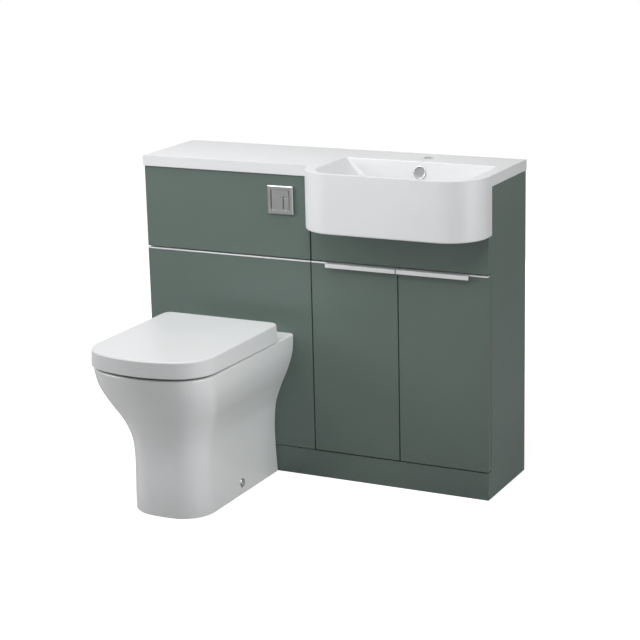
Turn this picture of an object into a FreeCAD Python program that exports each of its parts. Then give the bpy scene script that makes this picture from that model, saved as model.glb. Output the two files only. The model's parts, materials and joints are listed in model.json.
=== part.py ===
import FreeCAD, Part
import math
import os
import re
from types import SimpleNamespace

import Sketcher
from FreeCAD import Placement, Rotation, Vector

# Back-to-wall furniture run: a WC unit with pan, seat and concealed cistern on the left,
# and a two-door vanity unit on the right, under one basin top.
# X runs to the right, Y towards the wall, Z up. The origin is on the floor, under the
# middle of the whole object. All sizes are in millimetres.

# Driving dimensions

SIZES = {
    # run and boards
    "run_width": 1000,
    "wc_unit_width": 500,
    "run_depth": 266,
    "carcass_height": 825,
    "board": 18,
    "front_thickness": 18,
    "front_gap": 2,
    "reveal": 3,
    "top_reveal": 1,
    "plinth_height": 74,
    "front_drop": 226.5,
    "line_gap": 3.5,
    "front_rail": 60,
    "flat_rail": 70,
    "back_rail": 100,
    "cistern_rail_drop": 305,
    "low_rail": 60,
    # shelf and pegs
    "shelf_drop": 495,
    "shelf_play": 1,
    "shelf_front_inset": 28,
    "shelf_back_inset": 20,
    "peg_radius": 2.5,
    "peg_depth": 10,
    "peg_reach": 12,
    "peg_inset": 45,
    # bolts that join the two carcasses
    "bolt_radius": 3.5,
    "bolt_head_radius": 8,
    "bolt_head": 2.5,
    "bolt_inset": 55,
    "bolt_low": 250,
    "bolt_drop": 145,
    # brackets to the wall
    "bracket_leg": 34,
    "bracket_width": 30,
    "bracket_plate": 2.5,
    "bracket_hole_radius": 3,
    "bracket_low": 250,
    "bracket_drop": 165,
    # pads behind the clip-on panels, and door buffers
    "pad_radius": 5,
    "pad_inset": 34,
    "buffer_clearance": 0.3,
    "buffer_inset": 24,
    # metal edge trim and pulls
    "trim_plate": 1.5,
    "trim_lip": 3.5,
    "trim_stand": 1,
    "pull_share": 0.8,
    "pull_reach": 15,
    "pull_drop": 11,
    "pull_lip": 1.8,
    # concealed hinges
    "hinge_end_length": 90,
    "cup_centre": 22.5,
    "cup_radius": 17.5,
    "cup_depth": 12.5,
    "cup_wall": 1.2,
    "cup_flange": 1.2,
    "cup_flange_length": 60,
    "cup_flange_width": 22,
    "plate_length": 52,
    "plate_width": 34,
    "plate_rise": 4,
    "plate_setback": 22,
    "arm_rise": 12,
    "arm_width": 16,
    "arm_length": 86,
    "arm_clearance": 0.5,
    # basin top
    "top_thickness": 28,
    "front_overhang": 6,
    "side_overhang": 2,
    "bowl_side_gap": 3,
    "bowl_projection": 107,
    "bowl_height": 155,
    "bowl_corner": 92,
    "bowl_edge": 4,
    "opening_share": 0.85,
    "opening_front": 82,
    "opening_back": 142,
    "opening_corner": 64,
    "opening_back_corner": 12,
    "floor_share": 0.393,
    "floor_front": 50,
    "floor_back": 127,
    "floor_corner": 46,
    "floor_back_corner": 24,
    "bowl_depth": 115,
    "bowl_wall": 13,
    "tap_hole_radius": 17.5,
    "tap_hole_y": 209,
    # waste, overflow and trap
    "waste_y": 62,
    "waste_hole_radius": 22,
    "waste_tail_radius": 21.5,
    "waste_bore_radius": 17,
    "waste_flange_radius": 32,
    "waste_flange": 3,
    "waste_tail": 88,
    "waste_nut_radius": 30,
    "waste_nut": 12,
    "plug_radius": 29,
    "plug_thickness": 5,
    "plug_stem_radius": 6,
    "plug_stem": 40,
    "plug_seat_gap": 0.3,
    "guide_thickness": 3,
    "guide_height": 8,
    "overflow_drop": 29,
    "overflow_radius": 18,
    "overflow_cover": 3,
    "overflow_hole_radius": 11,
    "overflow_stub": 10,
    "overflow_boss": 18,
    "overflow_boss_drop": 30,
    "overflow_socket": 10,
    "hose_radius": 10,
    "hose_bore": 7.5,
    "hose_setback": 17,
    "hose_bend": 30,
    "hose_port_drop": 50,
    "trap_neck": 88,
    "trap_nut_radius": 29,
    "trap_nut": 24,
    "trap_cup_radius": 33,
    "trap_cup": 120,
    "trap_wall": 2.5,
    "trap_port_drop": 30,
    "trap_boss": 3,
    "trap_boss_depth": 6,
    "trap_boss_length": 20,
    "waste_pipe_radius": 16,
    "waste_pipe_wall": 2,
    "spigot_step": 0.5,
    # pan
    "pan_place_share": 0.546,
    "pan_height": 395,
    "pan_rim_width": 341,
    "pan_foot_width": 213,
    "pan_rim_reach": 530,
    "pan_foot_reach": 436,
    "pan_front_radius": 330,
    "pan_foot_corner": 84,
    "pan_rim_corner": 98,
    "pan_edge": 6,
    "pan_wall": 15,
    "pan_ledge": 24,
    "bowl_mouth_width": 252,
    "bowl_mouth_length": 320,
    "bowl_mouth_back": 150,
    "bowl_shell": 11,
    "sump_width": 84,
    "sump_length": 96,
    "sump_y": 250,
    "sump_share": 0.38,
    "trapway_radius": 34,
    "trapway_wall": 11,
    "trapway_weir_y": 135,
    "weir_share": 0.595,
    "trapway_turn_y": 85,
    "outlet_share": 0.468,
    "outlet_inset": 20,
    "inlet_share": 0.823,
    "inlet_radius": 28,
    "inlet_wall": 11,
    "inlet_inset": 26,
    # seat, lid and their hinges
    "lid_reach": 535,
    "lid_back": 81,
    "lid_width": 348,
    "lid_draft": 2,
    "lid_front_radius": 322,
    "lid_corner": 100,
    "lid_back_corner": 24,
    "lid_lift": 2,
    "lid_slope": 5.6,
    "lid_rise": 51.5,
    "lid_edge": 8,
    "lid_wall": 5,
    "lid_corner_lift": 5,
    "lid_back_lift": 13,
    "lid_notch_lift": 35,
    "seat_inset": 9,
    "seat_lift": 4,
    "seat_rise": 36,
    "seat_back": 112,
    "seat_edge": 8,
    "seat_wall": 5,
    "seat_hole_width": 212,
    "seat_hole_back": 172,
    "seat_hole_reach": 458,
    "seat_hole_corner": 70,
    "seat_hole_back_corner": 60,
    "seat_hole_front_radius": 150,
    "hinge_y": 94,
    "hinge_rise": 22,
    "hinge_spread": 77.5,
    "hinge_post": 22,
    "hinge_ear": 15,
    "hinge_play": 1,
    "hinge_barrel": 7,
    "hinge_pin": 3.5,
    "hinge_running": 0.05,
    "fixing_radius": 6,
    "fixing_depth": 22,
    "buffer_radius": 7,
    "seat_buffer_x": 147,
    "lid_buffer_x": 128,
    "buffer_front_y": 400,
    "buffer_back_y": 190,
    "rest_gap": 0.3,
    # pan fixings to the floor
    "fix_y": 198,
    "fix_z": 30,
    "fix_block": 30,
    "fix_block_height": 46,
    "fix_screw_radius": 4,
    "fix_cap_radius": 12,
    "fix_cap": 4,
    "fix_flat": 0.8,
    "fix_clearance": 0.3,
    "fix_foot_hole": 3,
    "fix_foot_offset": 9,
    # soil and flush pipes
    "soil_radius": 55,
    "soil_wall": 3,
    "soil_collar": 62,
    "soil_collar_length": 32,
    "soil_grip": 22,
    "soil_hole": 68,
    "flush_pipe_radius": 20,
    "flush_pipe_wall": 2,
    "flush_bend": 62,
    "flush_reach_in": 55,
    "cone_length": 34,
    "flush_hole": 34,
    # cistern
    "cistern_offset": 80,
    "cistern_side_gap": 32,
    "cistern_depth": 128,
    "cistern_over_pan": 75,
    "cistern_under_top": 50,
    "cistern_wall": 4,
    "cistern_lid": 10,
    "cistern_lid_lap": 4,
    "valve_tail_radius": 24,
    "valve_tail": 44,
    "pipe_socket": 20,
    "backnut": 12,
    "backnut_rim": 8,
    "valve_base": 16,
    "tower_radius": 40,
    "tower_wall": 3,
    "tower_share": 0.623,
    "lift_tube_radius": 18,
    "lift_disc_radius": 30,
    "lift_disc": 4,
    "lift_tube_share": 0.656,
    "fill_offset": 45,
    "fill_column_radius": 14,
    "fill_column_share": 0.82,
    "fill_tail_radius": 10.5,
    "fill_tail": 70,
    "float_radius": 30,
    "float_height": 50,
    "float_share": 0.426,
    "float_running": 0.4,
    "collar_radius": 19,
    "collar": 6,
    "stop_valve_radius": 14,
    "stop_valve": 40,
    # flush plate and buttons
    "plate_inset": 82.2,
    "plate_drop": 68.2,
    "plate_size": 75.5,
    "plate_frame": 10,
    "plate_stand": 8,
    "plate_tray": 1.5,
    "plate_chamfer": 2,
    "button_gap": 2.5,
    "button_face": 1.8,
    "button_recess": 0.5,
    "button_stem_radius": 3,
    "button_stem": 16,
    "stem_clearance": 0.2,
    "half_button_width": 15,
    "half_button_height": 32,
    "housing_radius": 28,
    "housing_depth": 46,
    "housing_wall": 3,
    "air_tube_radius": 3,
    "air_tube_spread": 14,
    "air_tube_back": 44,
    "air_tube_rise": 24,
    "air_tube_bend": 16,
    "nipple": 6,
    # one overrun serves all cuts
    "overrun": 2,
}

# Places worked out from the driving dimensions

PLACES = {
    "left_x": "-run_width / 2",
    "right_x": "run_width / 2",
    "split_x": "left_x + wc_unit_width",
    "front_y": "(lid_reach - run_depth) / 2",
    "front_back_y": "front_y + front_thickness",
    "carcass_y": "front_back_y + front_gap",
    "wall_y": "front_y + run_depth",
    "carcass_depth": "run_depth - front_thickness - front_gap",
    "vanity_width": "run_width - wc_unit_width",
    "vanity_mid_x": "split_x + vanity_width / 2",
    "top_z": "carcass_height + top_thickness",
    "handle_line": "carcass_height - front_drop",
    "upper_z": "handle_line + line_gap",
    "apron_z": "top_z - bowl_height",
    "door_z": "plinth_height + reveal",
    "door_height": "handle_line - trim_plate - door_z",
    "door_left_x": "split_x + reveal / 2",
    "door_left_width": "vanity_width / 2 - reveal",
    "door_right_x": "vanity_mid_x + reveal / 2",
    "door_right_width": "vanity_width / 2 - reveal / 2",
    "pull_length": "vanity_width / 2 * pull_share",
    "hinge_low": "door_z + hinge_end_length",
    "hinge_high": "handle_line - hinge_end_length",
    "shelf_z": "carcass_height - shelf_drop",
    "bolt_high": "carcass_height - bolt_drop",
    "bracket_high": "carcass_height - bracket_drop",
    "cistern_rail_z": "carcass_height - cistern_rail_drop",
    "bowl_width": "vanity_width + side_overhang - bowl_side_gap",
    "opening_width": "bowl_width * opening_share",
    "floor_width": "bowl_width * floor_share",
    "bowl_x": "right_x + side_overhang - bowl_width / 2",
    "bowl_floor_z": "top_z - bowl_depth",
    "pan_x": "left_x + wc_unit_width * pan_place_share",
    "sump_z": "pan_height * sump_share",
    "trapway_weir_z": "pan_height * weir_share",
    "outlet_z": "pan_height * outlet_share",
    "inlet_z": "pan_height * inlet_share",
    "hinge_z": "pan_height + hinge_rise",
    "lid_bottom": "pan_height + lid_lift",
    "lid_top": "pan_height + lid_rise",
    "seat_bottom": "pan_height + seat_lift",
    "seat_top": "pan_height + seat_rise",
    "cistern_x": "left_x + cistern_offset",
    "cistern_y": "wall_y - board - cistern_depth",
    "cistern_width": "wc_unit_width - cistern_offset - cistern_side_gap",
    "cistern_bottom": "pan_height + cistern_over_pan",
    "cistern_height": "carcass_height - cistern_under_top - cistern_bottom",
    "tower_height": "cistern_height * tower_share",
    "lift_tube_height": "cistern_height * lift_tube_share",
    "fill_column": "cistern_height * fill_column_share",
    "float_z": "cistern_bottom + cistern_height * float_share",
    "valve_y": "cistern_y + cistern_depth / 2",
    "fill_x": "cistern_x + fill_offset",
    "plate_x": "split_x - plate_inset",
    "plate_z": "carcass_height - plate_drop",
}

doc = FreeCAD.newDocument("back_to_wall_vanity_unit")


def fill_sheet(name, cells):
    """Write each value to a cell of its own and give the cell its word."""
    sheet = doc.addObject("Spreadsheet::Sheet", name)
    for row, (alias, text) in enumerate(cells.items(), start=1):
        sheet.set(f"A{row}", alias)
        sheet.set(f"B{row}", text)
        sheet.setAlias(f"B{row}", alias)
    doc.recompute()
    return sheet


def full(text, near=()):
    """Turn the plain words of an expression into references to the two sheets.

    The words in near stay plain, for a cell of the sheet that holds them.
    """

    def reference(match):
        word = match.group()
        if word in near:
            return word
        if word in SIZES:
            return "Sizes." + word
        if word in PLACES:
            return "Places." + word
        return word

    return re.sub(r"[a-z][a-z_]*", reference, text)


sizes_sheet = fill_sheet("Sizes", {alias: str(value) for alias, value in SIZES.items()})
places_sheet = fill_sheet(
    "Places", {alias: "=" + full(text, PLACES) for alias, text in PLACES.items()}
)

# The same values as numbers, for the shapes that are worked out in code
value = SimpleNamespace(
    **{alias: float(sizes_sheet.get(alias)) for alias in SIZES},
    **{alias: float(places_sheet.get(alias)) for alias in PLACES},
)

FULL_TURN = 360
QUARTER_TURN = 90

TURNS = {
    "x": Rotation(Vector(0, 1, 0), QUARTER_TURN),
    "y": Rotation(Vector(1, 0, 0), -QUARTER_TURN),
    "z": Rotation(),
    "front": Rotation(Vector(1, 0, 0), QUARTER_TURN),
}

sub_parts = []


def place(item, corner):
    """Bind an object's position to three expressions."""
    for axis, text in zip("xyz", corner):
        item.setExpression("Placement.Base." + axis, full(text))
    return item


def keep(item, label):
    """Name an object as one sub-part of the object."""
    item.Label = label
    sub_parts.append(item)
    return item


def box(corner, size):
    """A block from its low corner and its three sizes, all as expressions."""
    item = doc.addObject("Part::Box", "Block")
    for side, text in zip(("Length", "Width", "Height"), size):
        item.setExpression(side, full(text))
    return place(item, corner)


def rod(axis, start, radius, length):
    """A cylinder along an axis from the middle of its first end."""
    item = doc.addObject("Part::Cylinder", "Rod")
    item.Placement = Placement(Vector(), TURNS[axis])
    item.setExpression("Radius", full(radius))
    item.setExpression("Height", full(length))
    return place(item, start)


def fuse(*items):
    joined = doc.addObject("Part::MultiFuse", "Joined")
    joined.Shapes = list(items)
    return joined


def cut(base, *tools):
    removed = doc.addObject("Part::Cut", "Removed")
    removed.Base = base
    removed.Tool = tools[0] if len(tools) == 1 else fuse(*tools)
    return removed


def group(*items):
    """Separate solids that share one node."""
    together = doc.addObject("Part::Compound", "Group")
    together.Links = list(items)
    return together


def closed_sketch(body, role, points):
    """A sketch of straight sides whose corners are held by expressions."""
    plane = next(item for item in body.Origin.OriginFeatures if item.Role == role)
    sketch = body.newObject("Sketcher::SketchObject", "Profile")
    sketch.AttachmentSupport = [(plane, "")]
    sketch.MapMode = "FlatFace"
    count = len(points)
    rough = []
    for across, up in points:
        probe = doc.addObject("App::FeaturePython", "Probe")
        probe.addProperty("App::PropertyFloat", "Across")
        probe.addProperty("App::PropertyFloat", "Up")
        probe.setExpression("Across", full(across))
        probe.setExpression("Up", full(up))
        rough.append(probe)
    doc.recompute()
    corners = [Vector(probe.Across, probe.Up, 0) for probe in rough]
    for probe in rough:
        doc.removeObject(probe.Name)
    for index in range(count):
        following = corners[(index + 1) % count]
        sketch.addGeometry(Part.LineSegment(corners[index], following), False)
    for index in range(count):
        sketch.addConstraint(
            Sketcher.Constraint("Coincident", index, 2, (index + 1) % count, 1)
        )
    for index, (across, up) in enumerate(points):
        for kind, text, at in (
            ("DistanceX", across, corners[index].x),
            ("DistanceY", up, corners[index].y),
        ):
            number = sketch.addConstraint(Sketcher.Constraint(kind, -1, 1, index, 1, at))
            name = f"{kind}{index}"
            sketch.renameConstraint(number, name)
            sketch.setExpression("Constraints." + name, full(text))
    return sketch


def turned(axis, start, points):
    """A body turned from a profile of (radius, height) corners."""
    body = doc.addObject("PartDesign::Body", "Turned")
    sketch = closed_sketch(body, "XZ_Plane", points)
    turn = body.newObject("PartDesign::Revolution", "Turn")
    turn.Profile = sketch
    turn.ReferenceAxis = (sketch, ["V_Axis"])
    turn.Angle = FULL_TURN
    body.Tip = turn
    body.Placement = Placement(Vector(), TURNS[axis])
    return place(body, start)


def ring(axis, start, outer, inner, length):
    """A plain sleeve."""
    return turned(
        axis,
        start,
        [(inner, "0"), (outer, "0"), (outer, length), (inner, length)],
    )


def extruded(start, points, length):
    """A body padded along X from a profile of (Y, Z) corners."""
    body = doc.addObject("PartDesign::Body", "Extruded")
    sketch = closed_sketch(body, "YZ_Plane", points)
    pad = body.newObject("PartDesign::Pad", "Pad")
    pad.Profile = sketch
    pad.setExpression("Length", full(length))
    body.Tip = pad
    return place(body, start)


def shaped(shape, corner, facing="z"):
    """A sub-part whose shape is worked out in code, placed by expressions."""
    item = doc.addObject("Part::Feature", "Shaped")
    item.Shape = shape
    item.Placement = Placement(Vector(), TURNS[facing])
    return place(item, corner)


# Boards of the WC unit and the vanity unit

PEG_ROWS = (
    "carcass_y + shelf_front_inset + peg_inset",
    "wall_y - shelf_back_inset - peg_inset",
)


def make_boards():
    bolt_length = "2 * board + 2 * overrun"
    bolt_places = [
        (y, z)
        for y in ("carcass_y + bolt_inset", "wall_y - bolt_inset")
        for z in ("bolt_low", "bolt_high")
    ]

    def bolt_holes():
        return [
            rod("x", ("split_x - board - overrun", y, z), "bolt_radius", bolt_length)
            for y, z in bolt_places
        ]

    def peg_holes(x):
        return [
            rod("x", (x, y, "shelf_z - peg_radius"), "peg_radius", "peg_depth")
            for y in PEG_ROWS
        ]

    side = ("board", "carcass_depth", "carcass_height")
    keep(box(("left_x", "carcass_y", "0"), side), "wc_side_left")
    joined = box(("split_x - board", "carcass_y", "0"), side)
    keep(cut(joined, *bolt_holes()), "wc_side_right")
    left = box(("split_x", "carcass_y", "0"), side)
    left_pegs = peg_holes("split_x + board - peg_depth")
    keep(cut(left, *bolt_holes(), *left_pegs), "vanity_side_left")
    right = box(("right_x - board", "carcass_y", "0"), side)
    keep(cut(right, *peg_holes("right_x - board")), "vanity_side_right")

    bolts = []
    for y, z in bolt_places:
        shank = rod("x", ("split_x - board", y, z), "bolt_radius", "2 * board")
        heads = [
            rod("x", (x, y, z), "bolt_head_radius", "bolt_head")
            for x in ("split_x - board - bolt_head", "split_x + board")
        ]
        bolts.append(fuse(shank, *heads))
    keep(group(*bolts), "carcass_bolts")

    keep(
        box(
            ("split_x + board", "carcass_y", "plinth_height"),
            ("vanity_width - 2 * board", "carcass_depth", "board"),
        ),
        "vanity_bottom",
    )
    keep(
        box(
            ("left_x", "front_y + front_gap", "0"),
            ("run_width", "front_thickness", "plinth_height"),
        ),
        "plinth",
    )


def make_rails():
    middle_z = "handle_line - front_rail / 2"
    back_y = "wall_y - board"
    wc_x = "left_x + board"
    wc_length = "wc_unit_width - 2 * board"
    vanity_x = "split_x + board"
    vanity_length = "vanity_width - 2 * board"
    top_z = "carcass_height - back_rail"
    foot_z = "plinth_height + board"
    keep(
        group(
            box((wc_x, "carcass_y", middle_z), (wc_length, "board", "front_rail")),
            box((wc_x, "carcass_y", "0"), (wc_length, "board", "low_rail")),
            box((wc_x, "carcass_y", "carcass_height - board"), (wc_length, "flat_rail", "board")),
            box((wc_x, back_y, top_z), (wc_length, "board", "back_rail")),
            box((wc_x, back_y, "cistern_rail_z"), (wc_length, "board", "back_rail")),
            box((vanity_x, "carcass_y", middle_z), (vanity_length, "board", "front_rail")),
            box((vanity_x, back_y, top_z), (vanity_length, "board", "back_rail")),
            box((vanity_x, back_y, foot_z), (vanity_length, "board", "back_rail")),
        ),
        "carcass_rails",
    )


def make_shelf():
    keep(
        box(
            ("split_x + board + shelf_play", "carcass_y + shelf_front_inset", "shelf_z"),
            (
                "vanity_width - 2 * board - 2 * shelf_play",
                "carcass_depth - shelf_front_inset - shelf_back_inset",
                "board",
            ),
        ),
        "shelf",
    )
    pegs = [
        rod("x", (x, y, "shelf_z - peg_radius"), "peg_radius", "peg_depth + peg_reach")
        for x in ("split_x + board - peg_depth", "right_x - board - peg_reach")
        for y in PEG_ROWS
    ]
    keep(group(*pegs), "shelf_pegs")


def make_wall_brackets():
    brackets = []
    for hand in ("left", "right"):
        for height in ("bracket_low", "bracket_high"):
            low_z = height + " - bracket_width / 2"
            side_x = "left_x + board" if hand == "left" else "right_x - board - bracket_plate"
            wall_x = "left_x + board" if hand == "left" else "right_x - board - bracket_leg"
            hole_x = (
                "left_x + board + bracket_leg - bracket_width / 3"
                if hand == "left"
                else "right_x - board - bracket_leg + bracket_width / 3"
            )
            side_leg = box(
                (side_x, "wall_y - bracket_leg", low_z),
                ("bracket_plate", "bracket_leg", "bracket_width"),
            )
            wall_leg = box(
                (wall_x, "wall_y - bracket_plate", low_z),
                ("bracket_leg", "bracket_plate", "bracket_width"),
            )
            hole = rod(
                "y",
                (hole_x, "wall_y - bracket_plate - overrun", height),
                "bracket_hole_radius",
                "bracket_plate + 2 * overrun",
            )
            brackets.append(cut(fuse(side_leg, wall_leg), hole))
    keep(group(*brackets), "wall_brackets")


# Fronts of the WC unit


def make_wc_fronts():
    width = "wc_unit_width - reveal / 2"
    lower = box(
        ("left_x", "front_y", "door_z"), (width, "front_thickness", "door_height")
    )
    soil = rod(
        "y", ("pan_x", "front_y - overrun", "outlet_z"), "soil_hole", "front_thickness + 2 * overrun"
    )
    flush = rod(
        "y", ("pan_x", "front_y - overrun", "inlet_z"), "flush_hole", "front_thickness + 2 * overrun"
    )
    keep(cut(lower, soil, flush), "wc_lower_panel")

    upper = box(
        ("left_x", "front_y", "upper_z"),
        (width, "front_thickness", "carcass_height - top_reveal - upper_z"),
    )
    plate_hole = rod(
        "y",
        ("plate_x", "front_y - overrun", "plate_z"),
        "housing_radius",
        "front_thickness + 2 * overrun",
    )
    keep(cut(upper, plate_hole), "wc_access_panel")

    heights = (
        "door_z + pad_inset",
        "handle_line - pad_inset",
        "upper_z + pad_inset",
        "carcass_height - pad_inset",
    )
    pads = [
        rod("y", (x, "front_back_y", z), "pad_radius", "front_gap")
        for x in ("left_x + board / 2", "split_x - board / 2")
        for z in heights
    ]
    keep(group(*pads), "panel_pads")


# The (Y, Z) corners of the metal trim that caps a front's top edge
TRIM_PROFILE = [
    ("-trim_stand", "-trim_lip"),
    ("0", "-trim_lip"),
    ("0", "-trim_plate"),
    ("front_thickness", "-trim_plate"),
    ("front_thickness", "0"),
    ("-trim_stand", "0"),
]


def make_panel_trim():
    start = ("left_x", "front_y", "handle_line")
    keep(extruded(start, TRIM_PROFILE, "wc_unit_width - reveal / 2"), "panel_trim")


# Fronts of the vanity unit


def make_fascia():
    keep(
        box(
            ("door_left_x", "front_y + front_gap", "upper_z"),
            (
                "right_x - door_left_x",
                "front_thickness",
                "apron_z - top_reveal - upper_z",
            ),
        ),
        "vanity_fascia",
    )


def make_door(hand):
    """A door with its pull, two hinge cups and two buffers, all on one moving body."""
    x = f"door_{hand}_x"
    width = f"door_{hand}_width"
    if hand == "left":
        hinge_edge, inward = x, "+"
        pull_x = f"{x} + {width} - pull_length"
        meeting_x = f"{x} + {width} - buffer_inset"
    else:
        hinge_edge, inward = f"{x} + {width}", "-"
        pull_x = x
        meeting_x = f"{x} + buffer_inset"
    cup_x = f"{hinge_edge} {inward} cup_centre"
    heights = ("hinge_low", "hinge_high")

    panel = box((x, "front_y", "door_z"), (width, "front_thickness", "door_height"))
    bores = [
        rod("y", (cup_x, "front_back_y - cup_depth", z), "cup_radius", "cup_depth + overrun")
        for z in heights
    ]
    keep(cut(panel, *bores), f"door_{hand}")

    strip = extruded((x, "front_y", "handle_line"), TRIM_PROFILE, width)
    grip = extruded(
        (pull_x, "front_y", "handle_line"),
        [
            ("-pull_reach", "-pull_drop"),
            ("-pull_reach + pull_lip", "-pull_drop"),
            ("-pull_reach + pull_lip", "-pull_lip"),
            ("-trim_stand / 2", "-pull_lip"),
            ("-trim_stand / 2", "0"),
            ("-pull_reach", "0"),
        ],
        "pull_length",
    )
    keep(fuse(strip, grip), f"door_{hand}_pull")

    cups = []
    for z in heights:
        shell = turned(
            "y",
            (cup_x, "front_back_y - cup_depth", z),
            [
                ("0", "0"),
                ("cup_radius", "0"),
                ("cup_radius", "cup_depth"),
                ("cup_radius - cup_wall", "cup_depth"),
                ("cup_radius - cup_wall", "cup_wall"),
                ("0", "cup_wall"),
            ],
        )
        flange = box(
            (f"{cup_x} - cup_flange_width / 2", "front_back_y", f"{z} - cup_flange_length / 2"),
            ("cup_flange_width", "cup_flange", "cup_flange_length"),
        )
        mouth = rod(
            "y", (cup_x, "front_back_y", z), "cup_radius - cup_wall", "cup_flange + overrun"
        )
        collar = rod("y", (cup_x, "front_back_y", z), "cup_radius + cup_wall", "cup_flange")
        cups.append(fuse(shell, cut(fuse(flange, collar), mouth)))
    keep(group(*cups), f"door_{hand}_hinge_cups")

    buffers = [
        rod("y", (meeting_x, "front_back_y", z), "pad_radius", "front_gap - buffer_clearance")
        for z in ("plinth_height + board / 2", "handle_line - front_rail / 4")
    ]
    keep(group(*buffers), f"door_{hand}_buffers")


def make_hinge_arms():
    """Mounting plates and arms of the concealed hinges, fixed to the unit's sides."""
    plates = []
    arms = []
    for z in ("hinge_low", "hinge_high"):
        for hand in ("left", "right"):
            if hand == "left":
                plate_x = "split_x + board"
                arm_x = "split_x + board + plate_rise"
            else:
                plate_x = "right_x - board - plate_rise"
                arm_x = "right_x - board - plate_rise - arm_rise"
            plates.append(
                box(
                    (plate_x, "carcass_y + plate_setback", f"{z} - plate_width / 2"),
                    ("plate_rise", "plate_length", "plate_width"),
                )
            )
            arm_y = "front_back_y + cup_flange + arm_clearance"
            arms.append(
                box((arm_x, arm_y, f"{z} - arm_width / 2"), ("arm_rise", "arm_length", "arm_width"))
            )
    keep(group(*plates), "hinge_plates")
    keep(group(*arms), "hinge_arms")


# Basin top


def extrude_wire(wire, height):
    return Part.Face(wire).extrude(Vector(0, 0, height))


def rounded_wire(half_width, front, back, front_radius, back_radius, z):
    """A closed outline in plan: straight sides, round front and back corners."""
    turn = math.sqrt(0.5)
    right, left = half_width, -half_width
    low, high = -front, back

    def corner(x, y, sign_x, sign_y, radius, reverse):
        """The arc that rounds one corner, from its start to its end."""
        middle = Vector(x - sign_x * radius, y - sign_y * radius, z)
        on_side = middle + Vector(sign_x * radius, 0, 0)
        on_end = middle + Vector(0, sign_y * radius, 0)
        crown = middle + Vector(sign_x * radius * turn, sign_y * radius * turn, 0)
        first, last = (on_end, on_side) if reverse else (on_side, on_end)
        return first, Part.Arc(first, crown, last).toShape(), last

    arcs = [
        corner(right, low, 1, -1, front_radius, True),
        corner(right, high, 1, 1, back_radius, False),
        corner(left, high, -1, 1, back_radius, True),
        corner(left, low, -1, -1, front_radius, False),
    ]
    edges = []
    for index, (_, arc, last) in enumerate(arcs):
        following = arcs[(index + 1) % len(arcs)][0]
        edges.append(arc)
        edges.append(Part.LineSegment(last, following).toShape())
    return Part.Wire(edges)


def bowl_wire(share, grow, z):
    """The bowl's outline at a share of its depth, grown by a wall, at height z."""

    def between(top, bottom):
        return top + (bottom - top) * share

    return rounded_wire(
        between(value.opening_width, value.floor_width) / 2 + grow,
        between(value.opening_front, value.floor_front) + grow,
        between(value.opening_back, value.floor_back) + grow,
        between(value.opening_corner, value.floor_corner) + grow,
        between(value.opening_back_corner, value.floor_back_corner) + grow,
        z,
    )


def hose_line():
    """How far behind the fronts the overflow hose hangs."""
    return value.opening_back + value.bowl_wall + value.hose_setback


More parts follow.
